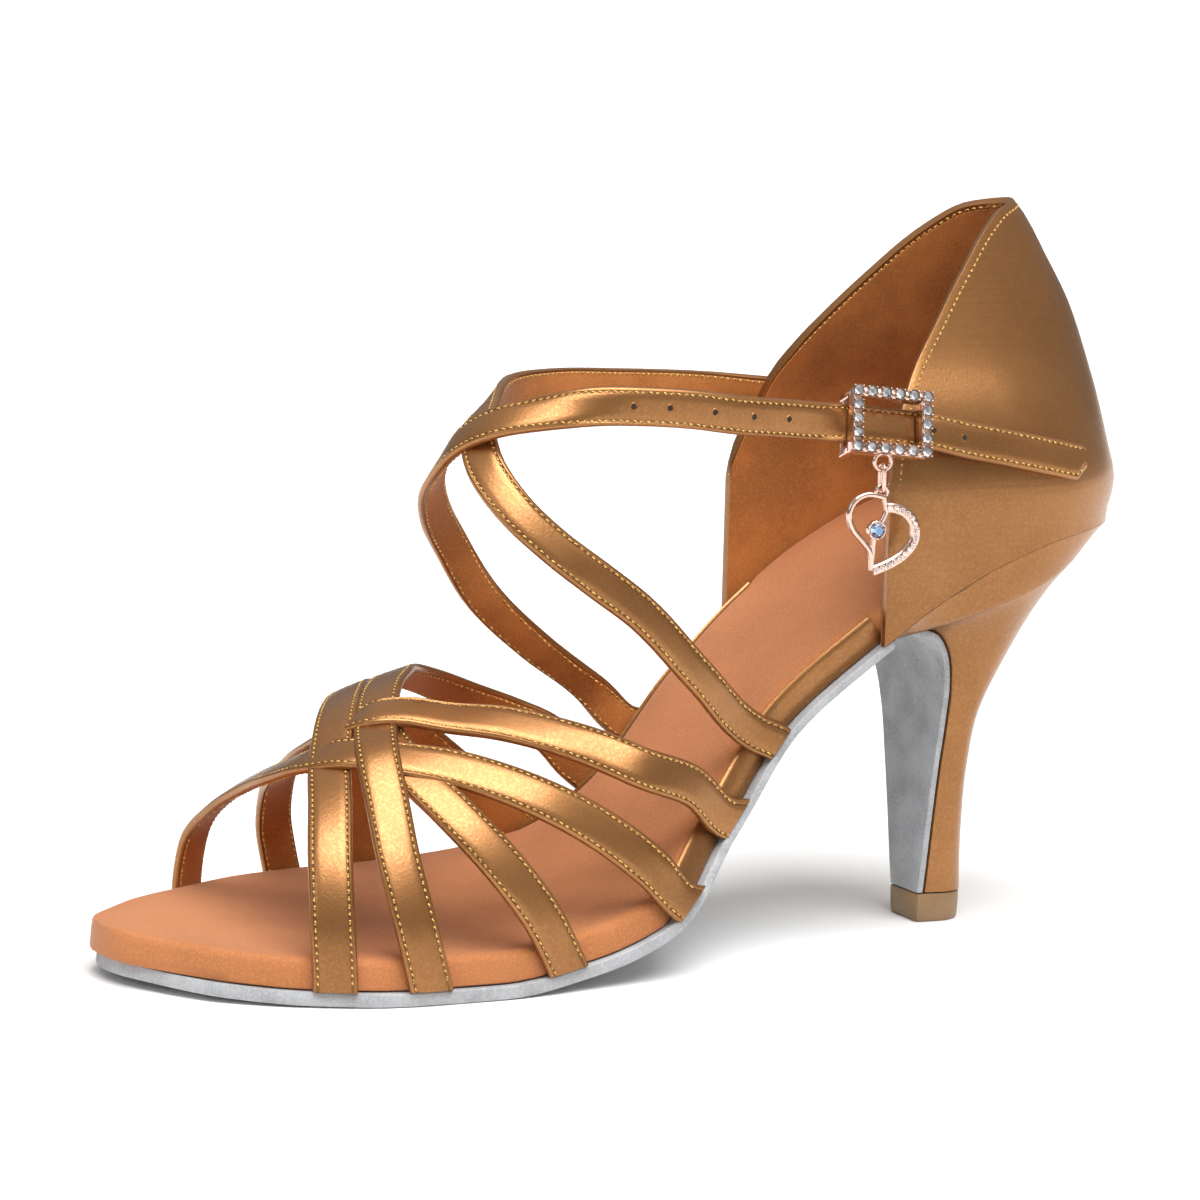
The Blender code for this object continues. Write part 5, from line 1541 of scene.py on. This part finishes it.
def metal(name, light, dark, low, high):
    tree, shader, _, grain, color = grained(name, light, dark, 2600.0, 700.0)
    rough = span(tree, grain["Tone"], 0.0, 1.0, low, high)
    feed(tree, shader, {"Base Color": color, "Roughness": rough, "Metallic": 1.0})
    add_bump(tree, shader, grain["Height"], 0.05, 0.00002)


def stone_material(name, light, dark):
    tree, shader, place = start_material(name)
    # painted reflection: a noise gives each stone brighter and dimmer facets
    bright_facets = noise(tree, place, Scale=600.0, Detail=1.0)
    color = mix(tree, span(tree, bright_facets, 0.35, 0.65), opaque(dark), opaque(light))
    feed(tree, shader, {"Base Color": color, "Metallic": 0.85, "Roughness": 0.06,
                        "Coat Weight": 1.0, "Coat Roughness": 0.02})


def thread_material(shoe):
    tree, shader, place = start_material("thread")
    twist = add(tree, "ShaderNodeTexWave", {"Vector": place, "Scale": 900.0, "Distortion": 1.5,
                                            "Detail": 1.0}, bands_direction="DIAGONAL").outputs[1]
    # the twist's dark bands are painted shade in the thread's folds
    color = mix(tree, twist, opaque(shoe.thread_shade), opaque(shoe.thread_light))
    feed(tree, shader, {"Base Color": color, "Roughness": 0.5, "Metallic": 0.35})
    add_bump(tree, shader, twist, 0.4, 0.00004)


def plastic(name, light, dark, rough):
    tree, shader, _, grain, color = grained(name, light, dark, 1500.0, 150.0)
    feed(tree, shader, {"Base Color": color, "Roughness": rough})
    add_bump(tree, shader, grain["Height"], 0.15, 0.00004)


def make_materials(shoe):
    gold_leather("gold_strap", shoe, panel=False)
    gold_leather("gold_panel", shoe, panel=True)
    suede("insole_suede", shoe.insole, deeper(shoe.insole, 0.8), 2300.0, 30.0)
    suede("lining_suede", shoe.lining, deeper(shoe.lining, 0.62), 2600.0)
    suede("grey_suede", shoe.sole, deeper(shoe.sole, 0.72), 1900.0, 140.0)
    metal("rose_metal", shoe.metal, deeper(shoe.metal, 0.82), 0.10, 0.2)
    metal("dark_metal", deeper(shoe.metal, 0.6), deeper(shoe.metal, 0.4), 0.16, 0.3)
    stone_material("clear_stone", shoe.stone_light, shoe.stone_dark)
    stone_material("blue_stone", shoe.blue_light, shoe.blue_dark)
    thread_material(shoe)
    plastic("tip_plastic", shoe.tip, deeper(shoe.tip, 0.8), 0.38)
    # painted shade for the punched holes' inside
    plastic("hole", shoe.hole, deeper(shoe.hole, 0.6), 0.9)


def material(name):
    mat = bpy.data.materials.get(name)
    if mat is None:
        raise RuntimeError("make the materials first: " + name)
    return mat


# Stage and camera

CAMERA_TURN = -26.0       # degrees round the shoe from its outer side
CAMERA_RISE = 8.1
CAMERA_ROLL = 1.55
CAMERA_FAR = 0.882
CAMERA_SENSOR = 36.0      # millimetres
CAMERA_LENS = 141.33
CAMERA_CLIP = (0.01, 100.0)
CAMERA_TARGET = (0.0987, 0.0, 0.0651)
FLOOR_SIZE = 60.0
FLOOR_LEVEL = -0.0001
WORLD_LOW = 0.22          # the studio's light from level
WORLD_HIGH = 0.58         # and from overhead
BACKDROP = 1.1            # brightness of the background that the camera sees
LIGHTS = (
    # name, kind, energy, place, target, further settings
    ("overhead", "SUN", 3.9, (-0.04, -0.45, 1.0), (0, 0, 0), {"angle": radians(50)}),
    ("front_left", "AREA", 1.7, (-1.35, -0.6, 0.75), (0, 0, 0.06), {"size": 0.5}),
)


def build_camera():
    turn = radians(CAMERA_TURN)
    rise = radians(CAMERA_RISE)
    roll = radians(CAMERA_ROLL)
    back = Vector((sin(turn) * cos(rise), -cos(turn) * cos(rise), sin(rise)))
    right = Vector((cos(turn), sin(turn), 0))
    up = back.cross(right)
    across = right * cos(roll) + up * sin(roll)
    upwards = up * cos(roll) - right * sin(roll)
    cam = add_object("camera", bpy.data.cameras.new("camera"))
    cam.data.sensor_width = CAMERA_SENSOR
    cam.data.lens = CAMERA_LENS
    cam.data.clip_start, cam.data.clip_end = CAMERA_CLIP
    cam.matrix_world = axes_at(Vector(CAMERA_TARGET) + SHIFT + back * CAMERA_FAR,
                               across, upwards, back)
    bpy.context.scene.camera = cam


def build_floor(shoe):
    bm = bmesh.new()
    bmesh.ops.create_grid(bm, x_segments=1, y_segments=1, size=FLOOR_SIZE / 2)
    floor = add_object("floor", mesh_of(bm, "floor"))
    floor.location.z = FLOOR_LEVEL
    mat = bpy.data.materials.new("floor")
    mat.use_nodes = True
    feed(mat.node_tree, mat.node_tree.nodes["Principled BSDF"],
         {"Base Color": opaque(shoe.floor), "Roughness": 0.9, "Specular IOR Level": 0.1})
    floor.data.materials.append(mat)


def add_light(name, kind, energy, place, target, props):
    data = bpy.data.lights.new(name, kind)
    data.energy = energy
    for key, value in props.items():
        setattr(data, key, value)
    light = add_object(name, data)
    light.location = place
    aim = Vector(target) - Vector(place)
    light.rotation_euler = aim.to_track_quat("-Z", "Y").to_euler()


def build_world():
    world = bpy.data.worlds.new("studio")
    world.use_nodes = True
    tree = world.node_tree
    tree.nodes.clear()
    way = add(tree, "ShaderNodeTexCoord").outputs["Generated"]
    rise = add(tree, "ShaderNodeSeparateXYZ", {0: way}).outputs[2]
    glow = span(tree, rise, 0.0, 0.9, WORLD_LOW, WORLD_HIGH)
    room = add(tree, "ShaderNodeBackground", {"Color": (1.0, 0.98, 0.95, 1), "Strength": glow})
    pale = add(tree, "ShaderNodeBackground", {"Color": (1, 1, 1, 1), "Strength": BACKDROP})
    seen = add(tree, "ShaderNodeLightPath").outputs["Is Camera Ray"]
    both = add(tree, "ShaderNodeMixShader", {0: seen, 1: room.outputs[0], 2: pale.outputs[0]})
    out = tree.nodes.new("ShaderNodeOutputWorld")
    tree.links.new(both.outputs[0], out.inputs[0])
    bpy.context.scene.world = world


# Settings, operators and panel

def color_value(label, text, value):
    return bpy.props.FloatVectorProperty(name=label, description=text, subtype="COLOR", size=3,
                                         min=0.0, max=1.0, default=value)


def length_value(label, text, value):
    return bpy.props.FloatProperty(name=label, description=text, subtype="DISTANCE",
                                   unit="LENGTH", min=0.0, default=value, precision=5)


class DanceShoeSettings(bpy.types.PropertyGroup):
    """Sizes and colours of the shoe's finish."""

    stitch_pitch: length_value("Stitch pitch", "From one stitch to the next", 0.00135)
    stitch_length: length_value("Stitch length", "Thread that shows in each stitch", 0.00092)
    thread: length_value("Thread", "Diameter of the thread", 0.00050)
    stone: length_value("Buckle stone", "Diameter of each stone's cup", 0.0023)
    gold_light: color_value("Gold, light", "Leather where it is palest", (0.36, 0.157, 0.048))
    gold_dark: color_value("Gold, dark", "Leather where it is deepest", (0.29, 0.121, 0.034))
    gold_spark: color_value("Gold, sparkle", "Foil on the grain's tops", (0.66, 0.42, 0.19))
    insole: color_value("Insole", "Suede under the foot", (0.50, 0.190, 0.070))
    lining: color_value("Lining", "Suede inside the straps and the cup", (0.47, 0.168, 0.040))
    sole: color_value("Sole", "Suede of the sole and the heel's front", (0.42, 0.43, 0.445))
    tip: color_value("Heel tip", "Plastic tip", (0.30, 0.18, 0.085))
    metal: color_value("Metal", "Rose gold plating", (0.83, 0.60, 0.50))
    # painted reflection: the stones' bright and dim facets
    stone_light: color_value("Stone, light", "Bright facets", (0.93, 0.95, 0.98))
    stone_dark: color_value("Stone, dark", "Dim facets", (0.40, 0.42, 0.46))
    blue_light: color_value("Charm's stone, light", "Bright facets", (0.55, 0.72, 0.95))
    blue_dark: color_value("Charm's stone, dark", "Dim facets", (0.16, 0.28, 0.48))
    thread_light: color_value("Thread, light", "Thread's top", (0.92, 0.60, 0.17))
    # painted shade in the thread's twist folds and along the straps' stitch grooves
    thread_shade: color_value("Thread, dark", "Thread's folds and seams", (0.17, 0.066, 0.016))
    # painted shade: the near-black of the discs that stand in for the holes' inside
    hole: color_value("Hole", "Inside of the punched holes", (0.035, 0.018, 0.008))
    floor: color_value("Floor", "Pale floor", (0.90, 0.90, 0.90))


class ShoeOperator:
    bl_options = {"REGISTER", "UNDO"}

    def execute(self, context):
        self.build(context.scene.dance_shoe)
        return {"FINISHED"}


class DANCESHOE_OT_stage(ShoeOperator, bpy.types.Operator):
    """Set up the floor, the lights, the camera and the materials"""
    bl_idname = "dance_shoe.stage"
    bl_label = "Stage and materials"

    def build(self, shoe):
        build_camera()
        build_floor(shoe)
        build_world()
        for light in LIGHTS:
            add_light(*light)
        make_materials(shoe)


class DANCESHOE_OT_foot_bed(ShoeOperator, bpy.types.Operator):
    """Build the insole, its rands and the sole"""
    bl_idname = "dance_shoe.foot_bed"
    bl_label = "Insole, rands and sole"

    def build(self, shoe):
        build_insole()
        build_rand(OUTER, "rand_outer_leather", "rand_outer")
        build_rand(INNER, "rand_inner_leather", "rand_inner")
        build_sole()


class DANCESHOE_OT_heel(ShoeOperator, bpy.types.Operator):
    """Build the heel and its tip"""
    bl_idname = "dance_shoe.heel"
    bl_label = "Heel"

    def build(self, shoe):
        build_heel()
        build_tip()


class DANCESHOE_OT_counter(ShoeOperator, bpy.types.Operator):
    """Build the heel cup with its lining and stitching"""
    bl_idname = "dance_shoe.counter"
    bl_label = "Counter"

    def build(self, shoe):
        build_counter(shoe)


class DANCESHOE_OT_vamp(ShoeOperator, bpy.types.Operator):
    """Build the five woven straps over the toes"""
    bl_idname = "dance_shoe.vamp"
    bl_label = "Woven straps"

    def build(self, shoe):
        for k, rows in enumerate(VAMP):
            planes = [EndCut(rows[0][0], True), EndCut(rows[-1][0], False)]
            build_strap(shoe, f"vamp_strap_{k + 1}", vamp_pairs(rows), STRAP_WIDTH,
                        "vamp_straps", planes)


class DANCESHOE_OT_instep(ShoeOperator, bpy.types.Operator):
    """Build the two long straps and their holes"""
    bl_idname = "dance_shoe.instep"
    bl_label = "Long straps"

    def build(self, shoe):
        build_strap(shoe, "under_strap", under_pairs(), LONG_WIDTH, "instep_straps",
                    [EndCut(UNDER_ANCHOR[1], True)])
        course = build_strap(shoe, "over_strap", over_pairs(), LONG_WIDTH, "instep_straps",
                             [EndCut(OVER_ANCHOR[1], False)], tail=True)
        build_holes(course)


class DANCESHOE_OT_buckle(ShoeOperator, bpy.types.Operator):
    """Build the buckle with its stones, and the tab that holds it"""
    bl_idname = "dance_shoe.buckle"
    bl_label = "Buckle"

    def build(self, shoe):
        build_buckle(shoe)
        build_tab()


class DANCESHOE_OT_charm(ShoeOperator, bpy.types.Operator):
    """Build the heart charm and the link that it hangs from"""
    bl_idname = "dance_shoe.charm"
    bl_label = "Charm"

    def build(self, shoe):
        build_link()
        build_heart()


STEPS = (DANCESHOE_OT_stage, DANCESHOE_OT_foot_bed, DANCESHOE_OT_heel, DANCESHOE_OT_counter,
         DANCESHOE_OT_vamp, DANCESHOE_OT_instep, DANCESHOE_OT_buckle, DANCESHOE_OT_charm)


class DANCESHOE_PT_panel(bpy.types.Panel):
    """The shoe's settings and building steps"""
    bl_label = "Dance shoe"
    bl_idname = "DANCESHOE_PT_panel"
    bl_space_type = "VIEW_3D"
    bl_region_type = "UI"
    bl_category = "Dance shoe"

    def draw(self, context):
        shoe = context.scene.dance_shoe
        for key in DanceShoeSettings.__annotations__:
            self.layout.prop(shoe, key)
        for step in STEPS:
            self.layout.operator(step.bl_idname)


CLASSES = (DanceShoeSettings, *STEPS, DANCESHOE_PT_panel)


def register():
    for cls in CLASSES:
        bpy.utils.register_class(cls)
    bpy.types.Scene.dance_shoe = bpy.props.PointerProperty(type=DanceShoeSettings)


def unregister():
    del bpy.types.Scene.dance_shoe
    for cls in reversed(CLASSES):
        bpy.utils.unregister_class(cls)


def main():
    register()
    bpy.context.scene.view_settings.view_transform = "Standard"
    bpy.ops.dance_shoe.stage()
    bpy.ops.dance_shoe.foot_bed()
    bpy.ops.dance_shoe.heel()
    bpy.ops.dance_shoe.counter()
    bpy.ops.dance_shoe.vamp()
    bpy.ops.dance_shoe.instep()
    bpy.ops.dance_shoe.buckle()
    bpy.ops.dance_shoe.charm()


if __name__ == "__main__":
    main()
